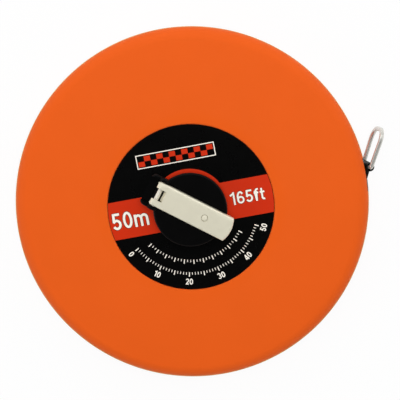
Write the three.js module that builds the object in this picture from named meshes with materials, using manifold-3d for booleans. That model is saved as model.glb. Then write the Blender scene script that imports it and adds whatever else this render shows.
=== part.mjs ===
// A closed-case surveyor's tape: two moulded shells round a wound glass-fibre tape,
// with a round label, a folding crank on the front and a wire ring on the tape's end.
// The axle is the Z axis, the rear face lies on z = 0 and the crank is on the +Z side.
import * as THREE from "three";
import { mergeVertices } from "three/addons/utils/BufferGeometryUtils.js";
import Module from "manifold-3d";

const wasm = await Module();
wasm.setup();

// Clearances and tolerances, in millimetres as every length here
const fitGap = 0.3; // clearance between pieces that seat in, or run past, each other
const cutOverrun = 1; // how far a cutting tool runs past the face it cuts
const weldDistance = 0.0005; // vertices closer than this are one vertex

// Facet counts
const caseFacets = 60;
const ribFacets = 32;
const discFacets = 48;
const bearingFacets = 32;
const smallFacets = 16;
const shoulderSteps = 5;
const crownSteps = 2;
const wireSides = 10;
const bendSteps = 4;

// Case
const caseRadius = 95;
const caseThickness = 27;
const shellWall = 2.5;
const shoulderRadius = 8;
const faceFlatRadius = 46; // the face is flat inside this radius and crowned outside it
const crownAngle = 3.5; // degrees that the crown has fallen to where the shoulder starts
const tongueWall = 1.1; // inner lip of the rear shell, which the front shell laps over
const tongueHeight = 1.8;

// Label
const labelRadius = 44.2;
const labelThickness = 0.35;
const labelRecessDepth = 0.5;
const labelBoreMargin = 1.2; // from the shell's bore to the label's inner edge

// Moulded ribs that keep the winding flat
const guideRibWall = 1.3;
const guideRibInset = 5; // from the hub's flange to the first ring, and from the last to the winding's edge
const guideRibShares = [0, 0.5, 1]; // of the way from the first ring to the last
const guideRibGap = 0.5; // from a rib to the winding
const spokeRibCount = 6;
const spokeRibWall = 1.2;
const spokeRibHeight = 1.8;

// Case screws, driven from the rear
const screwCount = 5;
const bossRadius = 2.9;
const screwShankRadius = 1.3;
const screwHeadRadius = 2.3;
const screwHeadHeight = 1.6;
const screwSeatDepth = 5.2;
const screwLength = 15;
const crossSlotWidth = 0.7;
const crossSlotLength = 2.8;
const crossSlotDepth = 0.9;

// Tape and winding
const tapeWidth = 13;
const tapeThickness = 0.43;
const windingClearance = 1.4; // from the full winding to the screw bosses

// Hub
const hubRadius = 18;
const hubWall = 2.2;
const hubSpigotStep = 1.2; // the rear flange fits on a spigot this much smaller in radius
const hubFlangeRadius = 32;
const hubFlangeThickness = 1.2;
const hubWebThickness = 2.4;
const hubWebLift = 1.9; // from the winding's rear side to the web
const hubRibCount = 6;
const hubRibWall = 1.4;
const socketWall = 2;
const anchorSlotWidth = 2;
const anchorEndMargin = 0.6;

// Drive between the crank disc and the hub
const journalRadius = 15;
const collarWall = 2.5;
const collarHeight = 2.2;
const driveHexInradius = 9;
const spindleRadius = 4;
const spindleLength = 15;
const spindleRelief = 1;
const hubScrewCount = 3;
const hubScrewCircle = 6.7;
const hubScrewLength = 9.5;
const screwTipRoom = 0.8;

// Washers behind the hub
const thrustRibHeight = 0.7;
const washerInset = 0.6; // from the spigot's outside to the washers' edge
const washerBand = 3.4;
const waveWasherThickness = 0.4;
const waveHeight = 0.2;
const waveCount = 3;
const thrustWasherThickness = 0.6;

// Crank disc, with an ear that carries the hinge
const crankAngle = -28.3; // degrees, the way that the folded arm points
const discRadius = 19.35;
const discHeight = 8.2;
const discEdgeRound = 1;
const discDraft = 1.2; // the disc and its ear are this much smaller at the foot, all round
const earRadius = 26.5;
const earHalfWidth = 8.85;
const earCorner = 2.5;
const lugRadius = 2.8;
const knobWellMargin = 1;
const knobWellFloorGap = 0.5;

// Crank arm, a pressed channel
const armWidth = 13;
const armHeight = 6;
const armWall = 1.2;
const hingeRadius = 18.45; // from the axle to the hinge pin
const armReach = 42.15; // from the hinge pin to the arm's tip
const armTipRadius = 15;
const armEdgeBevel = 0.6;
const armHeelCorner = 2;
const armTipHeight = 2.8;
const armTaperLength = 13;
const notchWidth = 6.1;
const notchDepth = 6.45;
const heelTabDepth = 3; // how far the tab bent down at the notch reaches below the arm's face
const heelTabBend = 0.2; // inside radius of the tab's bend
const armProud = 2.5; // the arm stands this far above the disc

// Hinge pin and the leaf spring that holds the arm open or shut
const pinRadius = 1.2;
const leafThickness = 0.5;
const leafLength = 12;
const leafBow = 0.15;
const leafHeelReach = 2.5; // how far the leaf runs past the pin, towards the ear's end

// Winding knob and its post
const knobFromHinge = 26.9;
const knobRadius = 5;
const knobNeckRadius = 4.4;
const knobLength = 7.9;
const knobEdgeRound = 1;
const postRadius = 1.5;
const postCollarRadius = 2.7;
const postCollarThickness = 0.5;
const postFootRadius = 2.4;
const postFootThickness = 1;
const postSink = 0.1; // the post's head lies this far under the arm's face

// Mouth, tape end and ring
const mouthAngle = 11.3; // degrees round the axle to the ring's bar
const barStandoff = 1.6; // from the case's rim to the middle of the ring's bar
const mouthpieceAngle = 9.1;
const mouthpieceWidth = 16;
const mouthpieceHeight = 15;
const mouthpieceLip = 1.8; // how far the lip inside the wall reaches past the window at each end
const mouthpieceLipHeight = 17;
const mouthpieceLipThickness = 1.6;
const mouthpieceRim = 0.8; // how far the rim in the wall's rebate reaches past the insert at each end
const mouthpieceRimThickness = 0.8;
const mouthpieceRoom = 7; // depth that the window is cut to
const slotMargin = 0.45; // from the sleeve or the ring's bar to each long side of the slot
const slotEndMargin = 0.4; // from the tape to each end of the slot
const sleeveWall = 0.5;
const sleeveInset = 0.3; // the sleeve is narrower than the tape by this on each side
const sleeveLength = 9;
const loopWall = 0.8;
const tapeRivetRadius = 0.9;
const tapeRivetShares = [-0.25, 0.25]; // of the tape's width
const tapeRivetBackset = 3; // from the sleeve's open end, and from the tape's end
const ringWireRadius = 1.2;
const ringBarWidth = 18.2; // over the wire, at the bar
const ringTipWidth = 21.4; // over the wire, where the legs would meet the tip
const ringLength = 23;
const ringBarCorner = 1.5;
const ringTipCorner = 6.5;
const ringTwist = 7; // degrees that the slack tape lets the ring turn about the tape
const ringSwing = 2; // degrees that the ring has swung away from the case

// Levels and places that follow from the sizes above
const degree = Math.PI / 180;
const seamZ = caseThickness / 2;
const shellFloorZ = shellWall;
const shellCeilingZ = caseThickness - shellWall;
const windingBottomZ = seamZ - tapeWidth / 2;
const windingTopZ = seamZ + tapeWidth / 2;
const frontFlangeTopZ = windingTopZ + fitGap + hubFlangeThickness;
const rearFlangeBottomZ = windingBottomZ - fitGap - hubFlangeThickness;
const webBottomZ = windingBottomZ + hubWebLift;
const webTopZ = webBottomZ + hubWebThickness;
const spindleTopZ = shellFloorZ + spindleLength;
const discBottomZ = caseThickness + fitGap;
const discTopZ = discBottomZ + discHeight;
const armTopZ = discTopZ + armProud;
const pinZ = armTopZ - armHeight / 2;
const channelFloorZ = pinZ - armHeight / 2 - fitGap;
const armPlateZ = armTopZ - armWall;
const postCollarTopZ = armPlateZ - fitGap;
const knobTopZ = postCollarTopZ - postCollarThickness - fitGap;
const knobBottomZ = knobTopZ - knobLength;
const knobX = knobFromHinge - hingeRadius;
const boreRadius = journalRadius + fitGap;
const screwHoleRadius = screwShankRadius + fitGap;
const bossCircle = caseRadius - shellWall - fitGap - bossRadius;
const windingRadius = bossCircle - bossRadius - windingClearance;
const firstRibRadius = hubFlangeRadius + guideRibInset;
const lastRibRadius = windingRadius - guideRibInset;
const mouthpieceRebate = mouthpieceRimThickness + fitGap;

// The tape leaves the winding along a tangent and runs straight to the ring's bar
const tapeLine = windingRadius + fitGap + tapeThickness / 2;
const barCircle = caseRadius + barStandoff;
const tailRun = Math.sqrt(barCircle ** 2 - tapeLine ** 2);
const leaveAngle = mouthAngle * degree - Math.acos(tapeLine / barCircle);
const exitAngle = leaveAngle + Math.PI / 2;
const loopBore = ringWireRadius + fitGap;
const loopRadius = loopBore + loopWall;
const sleeveThickness = tapeThickness + 2 * fitGap + 2 * sleeveWall;
const sleeveBackX = tailRun - loopRadius - sleeveLength;
const tailTipX = sleeveBackX + 2 * tapeRivetBackset;

// Materials
const plastic = (color, roughness) => new THREE.MeshStandardMaterial({ color, roughness, metalness: 0 });
const metal = (color, roughness) => new THREE.MeshStandardMaterial({ color, roughness, metalness: 1 });
const orangePlastic = plastic(0xe8601c, 0.42);
const blackPlastic = plastic(0x111112, 0.4);
const naturalPlastic = plastic(0xe6e2d4, 0.5);
const labelPrint = plastic(0x141213, 0.35);
const tapeVinyl = plastic(0xf0cf3a, 0.45);
const satinNickel = metal(0xd9d3bf, 0.38);
const brightChrome = metal(0xd4d6d8, 0.12);
const zincSteel = metal(0xb9bbb8, 0.35);
const springSteel = metal(0x8e9296, 0.3);

// A solid from a closed three.js geometry
function solid(geometry) {
  const bare = geometry.clone();
  bare.deleteAttribute("normal");
  bare.deleteAttribute("uv");
  const merged = mergeVertices(bare, weldDistance);
  const corners = merged.index.array;
  const kept = [];
  for (let i = 0; i < corners.length; i += 3) {
    const [a, b, c] = [corners[i], corners[i + 1], corners[i + 2]];
    if (a !== b && b !== c && c !== a) kept.push(a, b, c);
  }
  const vertProperties = merged.attributes.position.array;
  return new wasm.Manifold(
    new wasm.Mesh({ numProp: 3, vertProperties, triVerts: new Uint32Array(kept) }),
  );
}

// A named mesh from a solid
function piece(name, made, material) {
  const { vertProperties, triVerts } = made.getMesh();
  const geometry = new THREE.BufferGeometry();
  geometry.setAttribute("position", new THREE.BufferAttribute(vertProperties, 3));
  geometry.setIndex(new THREE.BufferAttribute(triVerts, 1));
  geometry.computeVertexNormals();
  const mesh = new THREE.Mesh(geometry, material);
  mesh.name = name;
  return mesh;
}

const joined = (first, ...rest) => rest.reduce((sum, part) => sum.add(part), first);
const cut = (body, ...tools) => tools.reduce((left, tool) => left.subtract(tool), body);
const at = (radius, height) => new THREE.Vector2(radius, height);

// A closed outline of radius and height, turned about the Z axis
function revolve(outline, facets) {
  const points = THREE.ShapeUtils.area(outline) > 0 ? [...outline] : [...outline].reverse();
  const onAxis = outline[0].x === 0 && outline.at(-1).x === 0;
  if (!onAxis) points.push(points[0]);
  return solid(new THREE.LatheGeometry(points, facets).rotateX(Math.PI / 2));
}

// A plain cylinder along Z
function rod(radius, bottom, top, facets, x = 0, y = 0) {
  const geometry = new THREE.CylinderGeometry(radius, radius, top - bottom, facets);
  return solid(geometry.rotateX(Math.PI / 2).translate(x, y, (bottom + top) / 2));
}

// A plain cylinder along Y, centred on y = 0
function crossRod(radius, length, facets, x, z) {
  return solid(new THREE.CylinderGeometry(radius, radius, length, facets).translate(x, 0, z));
}

// A tube along Z
function tube(outer, inner, bottom, top, facets) {
  return revolve([at(inner, bottom), at(outer, bottom), at(outer, top), at(inner, top)], facets);
}

// A block between two corners
function block(low, high) {
  const size = high.map((value, axis) => value - low[axis]);
  const middle = high.map((value, axis) => (value + low[axis]) / 2);
  return solid(new THREE.BoxGeometry(...size).translate(...middle));
}

// A flat shape given thickness along Z
function slab(shape, bottom, top, steps = bendSteps) {
  const settings = { depth: top - bottom, bevelEnabled: false, curveSegments: steps };
  return solid(new THREE.ExtrudeGeometry(shape, settings).translate(0, 0, bottom));
}

// A side view in X and Z given width along Y, centred on y = 0
function sideSlab(shape, width, steps = bendSteps) {
  const settings = { depth: width, bevelEnabled: false, curveSegments: steps };
  const geometry = new THREE.ExtrudeGeometry(shape, settings);
  return solid(geometry.rotateX(Math.PI / 2).translate(0, width / 2, 0));
}

// A flat shape given thickness, with its upper edge rounded off and its lower edge square
function roundedSlab(shape, bottom, top, round, steps) {
  const settings = {
    depth: top - bottom - round,
    bevelThickness: round,
    bevelSize: round,
    bevelOffset: -round,
    bevelSegments: 2,
    curveSegments: steps,
  };
  const whole = solid(new THREE.ExtrudeGeometry(shape, settings).translate(0, 0, bottom));
  const reach = 2 * earRadius;
  const below = block([-reach, -reach, bottom - round - cutOverrun], [reach, reach, bottom]);
  return cut(whole, below);
}

// A flat shape given thickness, full size at the top and drawn in all round towards the bottom
function draftedSlab(shape, bottom, top, draft, steps) {
  const settings = {
    depth: cutOverrun,
    bevelThickness: top - bottom,
    bevelSize: draft,
    bevelOffset: -draft,
    bevelSegments: 1,
    curveSegments: steps,
  };
  const whole = solid(new THREE.ExtrudeGeometry(shape, settings).translate(0, 0, top));
  const reach = 2 * earRadius;
  const highest = 2 * (top - bottom) + 2 * cutOverrun;
  return cut(whole, block([-reach, -reach, top], [reach, reach, top + highest]));
}

// Half of the case's side view, from the edge of the flat face to the seam, moved in by an offset
function caseSide(inset, steps = shoulderSteps) {
  const slope = crownAngle * degree;
  const centreR = caseRadius - shoulderRadius;
  const crownEndR = centreR + shoulderRadius * Math.sin(slope);
  const crownDrop = ((crownEndR - faceFlatRadius) * Math.tan(slope)) / 2;
  const centreZ = caseThickness - crownDrop - shoulderRadius * Math.cos(slope);
  const bend = shoulderRadius - inset;
  const side = new THREE.Path();
  side.moveTo(faceFlatRadius, caseThickness - inset);
  const startR = centreR + bend * Math.sin(slope);
  const startZ = centreZ + bend * Math.cos(slope);
  const crown = new THREE.QuadraticBezierCurve(
    at(faceFlatRadius, caseThickness - inset),
    at((faceFlatRadius + startR) / 2, caseThickness - inset),
    at(startR, startZ),
  );
  const shoulder = new THREE.EllipseCurve(centreR, centreZ, bend, bend, Math.PI / 2 - slope, 0, true);
  return [...crown.getPoints(crownSteps).slice(0, -1), ...shoulder.getPoints(steps)];
}

// The same side view for the rear half, from the flat face to the seam
const caseSideRear = (inset, steps) => caseSide(inset, steps).map((p) => at(p.x, caseThickness - p.y));

// The angle of each case screw, clear of the mouth
function screwAngles() {
  const pitch = 360 / screwCount;
  return Array.from({ length: screwCount }, (_, i) => (mouthAngle + pitch * (i + 1 / 2)) * degree);
}

// Something made at the place of each case screw
function atScrews(makeOne) {
  return screwAngles().map((angle) => makeOne(bossCircle * Math.cos(angle), bossCircle * Math.sin(angle)));
}

// Everything within half the wall's depth of the front half's outside, or of the rear half's
function frontCore() {
  return revolve([at(0, seamZ), ...caseSide(shellWall / 2).reverse(), at(0, caseThickness - shellWall / 2)], caseFacets);
}

function rearCore() {
  return revolve([at(0, shellWall / 2), ...caseSideRear(shellWall / 2), at(0, seamZ)], caseFacets);
}

// Something repeated round the axle
function around(count, makeOne) {
  return Array.from({ length: count }, (_, i) => makeOne((2 * Math.PI * i) / count));
}

// Guide rings and spokes inside a shell, from the shell's inside to just short of the winding
function guideRibs(rootZ, tipZ) {
  const [low, high] = [Math.min(rootZ, tipZ), Math.max(rootZ, tipZ)];
  const rings = guideRibShares.map((share) => {
    const middle = firstRibRadius + share * (lastRibRadius - firstRibRadius);
    return tube(middle + guideRibWall / 2, middle - guideRibWall / 2, low, high, ribFacets);
  });
  const towards = Math.sign(tipZ - rootZ);
  const spokeTip = rootZ + towards * (spokeRibHeight + shellWall / 2);
  const spokes = around(spokeRibCount, (angle) => {
    const length = lastRibRadius - firstRibRadius;
    const middle = (lastRibRadius + firstRibRadius) / 2;
    const bar = new THREE.BoxGeometry(length, spokeRibWall, Math.abs(spokeTip - rootZ));
    return solid(bar.translate(middle, 0, (rootZ + spokeTip) / 2).rotateZ(angle));
  });
  return joined(...rings, ...spokes);
}

// A block through the case's rim at the mouth, from one radius to another
function mouthBlock(across, tall, back, front) {
  const box = new THREE.BoxGeometry(front - back, across, tall);
  return solid(box.translate((front + back) / 2, 0, seamZ).rotateZ(mouthpieceAngle * degree));
}

// The window that the mouthpiece stands in, with a rebate for its rim at each end
function mouthWindow() {
  const [across, tall] = [mouthpieceWidth + 2 * fitGap, mouthpieceHeight + 2 * fitGap];
  const [back, outside] = [caseRadius - mouthpieceRoom, caseRadius + cutOverrun];
  const rebate = mouthBlock(across + 2 * mouthpieceRim, tall, back, outside);
  return mouthBlock(across, tall, back, outside).add(rebate.subtract(caseVolume(-mouthpieceRebate)));
}

function frontShell() {
  const lapInner = caseRadius - shellWall + tongueWall + fitGap;
  const lapTop = seamZ + tongueHeight + fitGap;
  const recessRadius = labelRadius + fitGap;
  const outline = [
    at(boreRadius, shellCeilingZ),
    ...caseSide(shellWall),
    at(caseRadius - shellWall, lapTop),
    at(lapInner, lapTop),
    at(lapInner, seamZ + fitGap / 2),
    at(caseRadius, seamZ + fitGap / 2),
    ...caseSide(0).reverse(),
    at(recessRadius, caseThickness),
    at(recessRadius, caseThickness - labelRecessDepth),
    at(boreRadius, caseThickness - labelRecessDepth),
  ];
  const collarFoot = shellCeilingZ - collarHeight;
  const collar = tube(boreRadius + collarWall, boreRadius, collarFoot, shellCeilingZ + shellWall / 2, bearingFacets);
  const rootZ = shellCeilingZ + shellWall / 2;
  const ribs = guideRibs(rootZ, windingTopZ + guideRibGap);
  const bossFoot = seamZ + fitGap / 2;
  const bosses = atScrews((x, y) => rod(bossRadius, bossFoot, caseThickness, smallFacets, x, y));
  const pilotTip = screwSeatDepth + screwLength + screwTipRoom;
  const pilots = atScrews((x, y) => rod(screwHoleRadius, bossFoot - cutOverrun, pilotTip, smallFacets, x, y));
  const whole = joined(revolve(outline, caseFacets), collar, ribs, joined(...bosses).intersect(frontCore()));
  const centreBore = rod(boreRadius, collarFoot - cutOverrun, caseThickness + cutOverrun, bearingFacets);
  return cut(whole, centreBore, ...pilots, mouthWindow());
}

function rearShell() {
  const tongueOuter = caseRadius - shellWall + tongueWall;
  const seamTop = seamZ - fitGap / 2;
  const outline = [
    at(0, 0),
    ...caseSideRear(0),
    at(caseRadius, seamTop),
    at(tongueOuter, seamTop),
    at(tongueOuter, seamZ + tongueHeight),
    at(caseRadius - shellWall, seamZ + tongueHeight),
    ...caseSideRear(shellWall).reverse(),
    at(0, shellFloorZ),
  ];
  const rootZ = shellFloorZ - shellWall / 2;
  const spindle = rod(spindleRadius, rootZ, spindleTopZ, smallFacets);
  const ringOuter = hubRadius - hubSpigotStep;
  const thrustRing = tube(ringOuter, ringOuter - washerBand, rootZ, shellFloorZ + thrustRibHeight, bearingFacets);
  const ribs = guideRibs(rootZ, windingBottomZ - guideRibGap);
  const bosses = atScrews((x, y) => rod(bossRadius, 0, seamTop, smallFacets, x, y));
  const shankHoles = atScrews((x, y) => rod(screwHoleRadius, 0, seamZ, smallFacets, x, y));
  const headHoles = atScrews((x, y) => rod(screwHeadRadius + fitGap, -cutOverrun, screwSeatDepth, smallFacets, x, y));
  const inner = joined(spindle, thrustRing, ribs, joined(...bosses).intersect(rearCore()));
  const whole = revolve(outline, caseFacets).add(inner);
  return cut(whole, ...shankHoles, ...headHoles, mouthWindow());
}

function frontLabel() {
  const bottom = caseThickness - labelRecessDepth;
  return tube(labelRadius, boreRadius + labelBoreMargin, bottom, bottom + labelThickness, caseFacets);
}

// A pan-head screw along Z with its head down and its cross slot in the head's foot
function screw(length) {
  const head = rod(screwHeadRadius, -screwHeadHeight, 0, smallFacets);
  const tipZ = length - screwShankRadius;
  const shank = revolve(
    [at(0, -screwHeadHeight / 2), at(screwShankRadius, -screwHeadHeight / 2), at(screwShankRadius, tipZ), at(0, length)],
    smallFacets,
  );
  const slotTop = crossSlotDepth - screwHeadHeight;
  const slotLow = -screwHeadHeight - cutOverrun;
  const [long, thin] = [crossSlotLength / 2, crossSlotWidth / 2];
  return cut(
    head.add(shank),
    block([-long, -thin, slotLow], [long, thin, slotTop]),
    block([-thin, -long, slotLow], [thin, long, slotTop]),
  );
}

// A rod along the ring's bar, in the tape end's own frame
function barRod(radius, length) {
  const geometry = new THREE.CylinderGeometry(radius, radius, length, smallFacets);
  return geometry.rotateX(Math.PI / 2).rotateX(ringTwist * degree).translate(tailRun, 0, 0);
}

// The slot that the tape runs through, in the tape's own direction, with room for its end loop and the bar
function tapePassage() {
  const tall = tapeWidth + 2 * slotEndMargin;
  const slotWidth = sleeveThickness + 2 * slotMargin;
  const slot = new THREE.BoxGeometry(2 * (tailRun + loopRadius), slotWidth, tall);
  const loopRoom = barRod(loopRadius + slotMargin, tall);
  const barRoom = barRod(ringWireRadius + slotMargin, ringBarWidth);
  const place = (geometry) => geometry.translate(0, -tapeLine, seamZ).rotateZ(exitAngle);
  return joined(solid(place(slot)), solid(place(loopRoom)), solid(place(barRoom)));
}

// Everything inside the case's outside, moved out by an offset
function caseVolume(offset) {
  const front = caseSide(-offset).reverse();
  const rear = caseSideRear(-offset).slice(0, -1);
  return revolve([at(0, -offset), ...rear, ...front, at(0, caseThickness + offset)], caseFacets);
}

// The insert that the tape slides out through: the wall lies between its inner lip and its two end rims
function mouthpiece() {
  const [back, outside] = [caseRadius - mouthpieceRoom, caseRadius + cutOverrun];
  const lipFront = -shellWall - fitGap;
  const core = caseVolume(lipFront - mouthpieceLipThickness);
  const face = caseVolume(0);
  const plug = mouthBlock(mouthpieceWidth, mouthpieceHeight, back, outside).intersect(face.subtract(core));
  const rimBlock = mouthBlock(mouthpieceWidth + 2 * mouthpieceRim, mouthpieceHeight, back, outside);
  const rim = rimBlock.intersect(face.subtract(caseVolume(-mouthpieceRimThickness)));
  const lipWidth = mouthpieceWidth + 2 * (mouthpieceLip + fitGap);
  const lipBlock = mouthBlock(lipWidth, mouthpieceLipHeight, back, outside);
  const lip = lipBlock.intersect(caseVolume(lipFront).subtract(core));
  return cut(joined(plug, rim, lip), tapePassage());
}

// Outline of the hinge ear, seen from the front: its end is concentric with the disc
function earShape() {
  const endAngle = Math.asin((earHalfWidth - earCorner) / earRadius);
  const straightX = -earRadius * Math.cos(endAngle) + earCorner;
  const shape = new THREE.Shape();
  shape.moveTo(0, -earHalfWidth);
  shape.lineTo(0, earHalfWidth);
  shape.absarc(straightX, earHalfWidth - earCorner, earCorner, Math.PI / 2, Math.PI - endAngle, false);
  shape.absarc(0, 0, earRadius, Math.PI - endAngle, Math.PI + endAngle, false);
  shape.absarc(straightX, earCorner - earHalfWidth, earCorner, Math.PI + endAngle, (3 * Math.PI) / 2, false);
  shape.closePath();
  return shape;
}

// Side view of the two lugs that hold the hinge pin
function lugShape(footZ) {
  const shape = new THREE.Shape();
  shape.moveTo(-hingeRadius + lugRadius, footZ);
  shape.lineTo(-hingeRadius + lugRadius, pinZ);
  shape.absarc(-hingeRadius, pinZ, lugRadius, 0, Math.PI, false);
  shape.lineTo(-hingeRadius - lugRadius, footZ);
  return shape;
}

// The disc itself, with its upper edge rounded
function discBody() {
  const edge = new THREE.Path();
  edge.absarc(discRadius - discEdgeRound, discTopZ - discEdgeRound, discEdgeRound, 0, Math.PI / 2, false);
  const outline = [
    at(0, discBottomZ),
    at(discRadius - discDraft, discBottomZ),
    at(discRadius, discTopZ - 2 * discEdgeRound),
    ...edge.getPoints(2),
    at(0, discTopZ),
  ];
  return revolve(outline, discFacets);
}

function crankDisc() {
  const bandZ = discTopZ - 2 * discEdgeRound;
  const earTop = roundedSlab(earShape(), bandZ, discTopZ, discEdgeRound, 2);
  const earFoot = draftedSlab(earShape(), discBottomZ, bandZ, discDraft, 2);
  const lugs = sideSlab(lugShape(bandZ), 2 * earHalfWidth);
  const puck = joined(discBody(), earTop, earFoot, lugs);
  const journalFoot = frontFlangeTopZ + fitGap;
  const journal = rod(journalRadius, journalFoot, discBottomZ + discHeight / 4, bearingFacets);
  const hexRadius = driveHexInradius / Math.cos(Math.PI / 6);
  const driveFoot = webTopZ + fitGap;
  const drive = rod(hexRadius, driveFoot, journalFoot + cutOverrun, 6);
  const channelHalf = armWidth / 2 + fitGap;
  const reach = 2 * earRadius;
  const channel = block([-reach, -channelHalf, channelFloorZ], [reach, channelHalf, armTopZ + cutOverrun]);
  const wellRadius = knobRadius + knobWellMargin;
  const well = rod(wellRadius, knobBottomZ - knobWellFloorGap, armTopZ, ribFacets / 2, knobX);
  const leafBack = leafPlace();
  const pocket = block(
    [leafBack.start - fitGap, -leafBack.half - fitGap, leafBack.bottom - fitGap],
    [leafBack.end + fitGap, leafBack.half + fitGap, channelFloorZ + cutOverrun],
  );
  const pinHole = crossRod(pinRadius + fitGap, 2 * earHalfWidth + cutOverrun, smallFacets, -hingeRadius, pinZ);
  const spindleBore = rod(spindleRadius + fitGap, driveFoot - cutOverrun, spindleTopZ + spindleRelief, smallFacets);
  const pilots = around(hubScrewCount, (angle) => {
    const [x, y] = [hubScrewCircle * Math.cos(angle), hubScrewCircle * Math.sin(angle)];
    const tip = webBottomZ - fitGap + hubScrewLength + screwTipRoom;
    return rod(screwHoleRadius, driveFoot - cutOverrun, tip, smallFacets, x, y);
  });
  return cut(joined(puck, journal, drive), channel, well, pocket, pinHole, spindleBore, ...pilots);
}

// Where the leaf spring lies under the arm's heel, in the crank's own frame
function leafPlace() {
  const start = -hingeRadius - leafHeelReach;
  const top = channelFloorZ - fitGap / 3;
  const bottom = top - leafThickness;
  return { start, end: start + leafLength, half: armWidth / 2 - fitGap, top, bottom };
}

function leafSpring() {
  const { start, end, half, top, bottom } = leafPlace();
  const middle = (start + end) / 2;
  const side = new THREE.Shape();
  side.moveTo(start, bottom + leafBow);
  side.quadraticCurveTo(middle, bottom - leafBow, end, bottom + leafBow);
  side.lineTo(end, top);
  side.quadraticCurveTo(middle, top - 2 * leafBow, start, top);
  return sideSlab(side, 2 * half);
}

// Outline of the arm seen from the front, or of the hollow inside it when moved in by a wall
function armShape(inset, heelX) {
  const half = armWidth / 2 - inset;
  const tipX = armReach - hingeRadius - inset;
  const tipRadius = armTipRadius - inset;
  const tipAngle = Math.asin(half / tipRadius);
  const corner = Math.max(armHeelCorner - inset, 0);
  const shape = new THREE.Shape();
  shape.moveTo(heelX + corner, -half);
  shape.absarc(tipX - tipRadius, 0, tipRadius, -tipAngle, tipAngle, false);
  shape.lineTo(heelX + corner, half);
  if (corner > 0) {
    shape.quadraticCurveTo(heelX, half, heelX, half - corner);
    shape.lineTo(heelX, corner - half);
    shape.quadraticCurveTo(heelX, -half, heelX + corner, -half);
  } else {
    shape.lineTo(heelX, -half);
  }
  return shape;
}

// The arm's side view: a round heel about the pin, and an underside that rises to the tip
function armSideShape() {
  const heel = armHeight / 2;
  const tipX = armReach - hingeRadius + cutOverrun;
  const shape = new THREE.Shape();
  shape.moveTo(tipX, armTopZ);
  shape.lineTo(-hingeRadius, armTopZ);
  shape.absarc(-hingeRadius, pinZ, heel, Math.PI / 2, (3 * Math.PI) / 2, false);
  shape.lineTo(tipX - cutOverrun - armTaperLength, pinZ - heel);
  shape.lineTo(tipX, armTopZ - armTipHeight);
  return shape;
}

// The tab that is bent down from the plate at the notch, behind the hinge pin
function heelTab(plateX) {
  const bend = armWall + heelTabBend;
  const side = new THREE.Shape();
  side.moveTo(plateX + cutOverrun, armTopZ);
  side.absarc(plateX, armTopZ - bend, bend, Math.PI / 2, Math.PI, false);
  side.lineTo(plateX - bend, armTopZ - heelTabDepth);
  side.lineTo(plateX - heelTabBend, armTopZ - heelTabDepth);
  side.absarc(plateX, armTopZ - bend, heelTabBend, Math.PI, Math.PI / 2, true);
  side.lineTo(plateX + cutOverrun, armPlateZ);
  return sideSlab(side, notchWidth - 2 * fitGap);
}

function crankArm() {
  const heelX = -hingeRadius - armHeight / 2;
  const below = pinZ - armHeight / 2 - cutOverrun;
  const blank = roundedSlab(armShape(0, heelX), below, armTopZ, armEdgeBevel, bendSteps);
  const profile = sideSlab(armSideShape(), armWidth + cutOverrun, 2 * bendSteps);
  const hollow = slab(armShape(armWall, heelX - cutOverrun), below - cutOverrun, armPlateZ);
  const halfNotch = notchWidth / 2;
  const notch = block(
    [heelX - cutOverrun, -halfNotch, below],
    [heelX + notchDepth, halfNotch, armTopZ + cutOverrun],
  );
  const pinHole = crossRod(pinRadius + fitGap, armWidth + cutOverrun, smallFacets, -hingeRadius, pinZ);
  const postHole = rod(postRadius + fitGap, armPlateZ - cutOverrun, armTopZ + cutOverrun, smallFacets, knobX);
  return cut(blank.intersect(profile), hollow, notch, pinHole, postHole).add(heelTab(heelX + notchDepth));
}

function hingePin() {
  return crossRod(pinRadius, 2 * (earHalfWidth - fitGap), smallFacets, -hingeRadius, pinZ);
}

function knobPost() {
  const knobFootZ = knobBottomZ + fitGap;
  const footTopZ = knobFootZ + postFootThickness;
  const collarFootZ = postCollarTopZ - postCollarThickness;
  const outline = [
    at(0, knobFootZ),
    at(postFootRadius, knobFootZ),
    at(postFootRadius, footTopZ),
    at(postRadius, footTopZ),
    at(postRadius, collarFootZ),
    at(postCollarRadius, collarFootZ),
    at(postCollarRadius, postCollarTopZ),
    at(postRadius, postCollarTopZ),
    at(postRadius, armTopZ - postSink),
    at(0, armTopZ - postSink),
  ];
  return revolve(outline, smallFacets);
}

function windingKnob() {
  const bore = postRadius + fitGap;
  const counterbore = postFootRadius + fitGap;
  const counterTopZ = knobBottomZ + fitGap + postFootThickness + fitGap;
  const side = new THREE.Path();
  side.moveTo(knobRadius - knobEdgeRound, knobBottomZ);
  side.quadraticCurveTo(knobRadius, knobBottomZ, knobRadius, knobBottomZ + knobEdgeRound);
  const waistZ = (knobBottomZ + knobTopZ) / 2;
  side.bezierCurveTo(knobRadius, waistZ, knobNeckRadius, waistZ, knobNeckRadius, knobTopZ);
  const outline = [
    ...side.getPoints(bendSteps),
    at(bore, knobTopZ),
    at(bore, counterTopZ),
    at(counterbore, counterTopZ),
    at(counterbore, knobBottomZ),
  ];
  return revolve(outline, ribFacets / 2);
}

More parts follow.
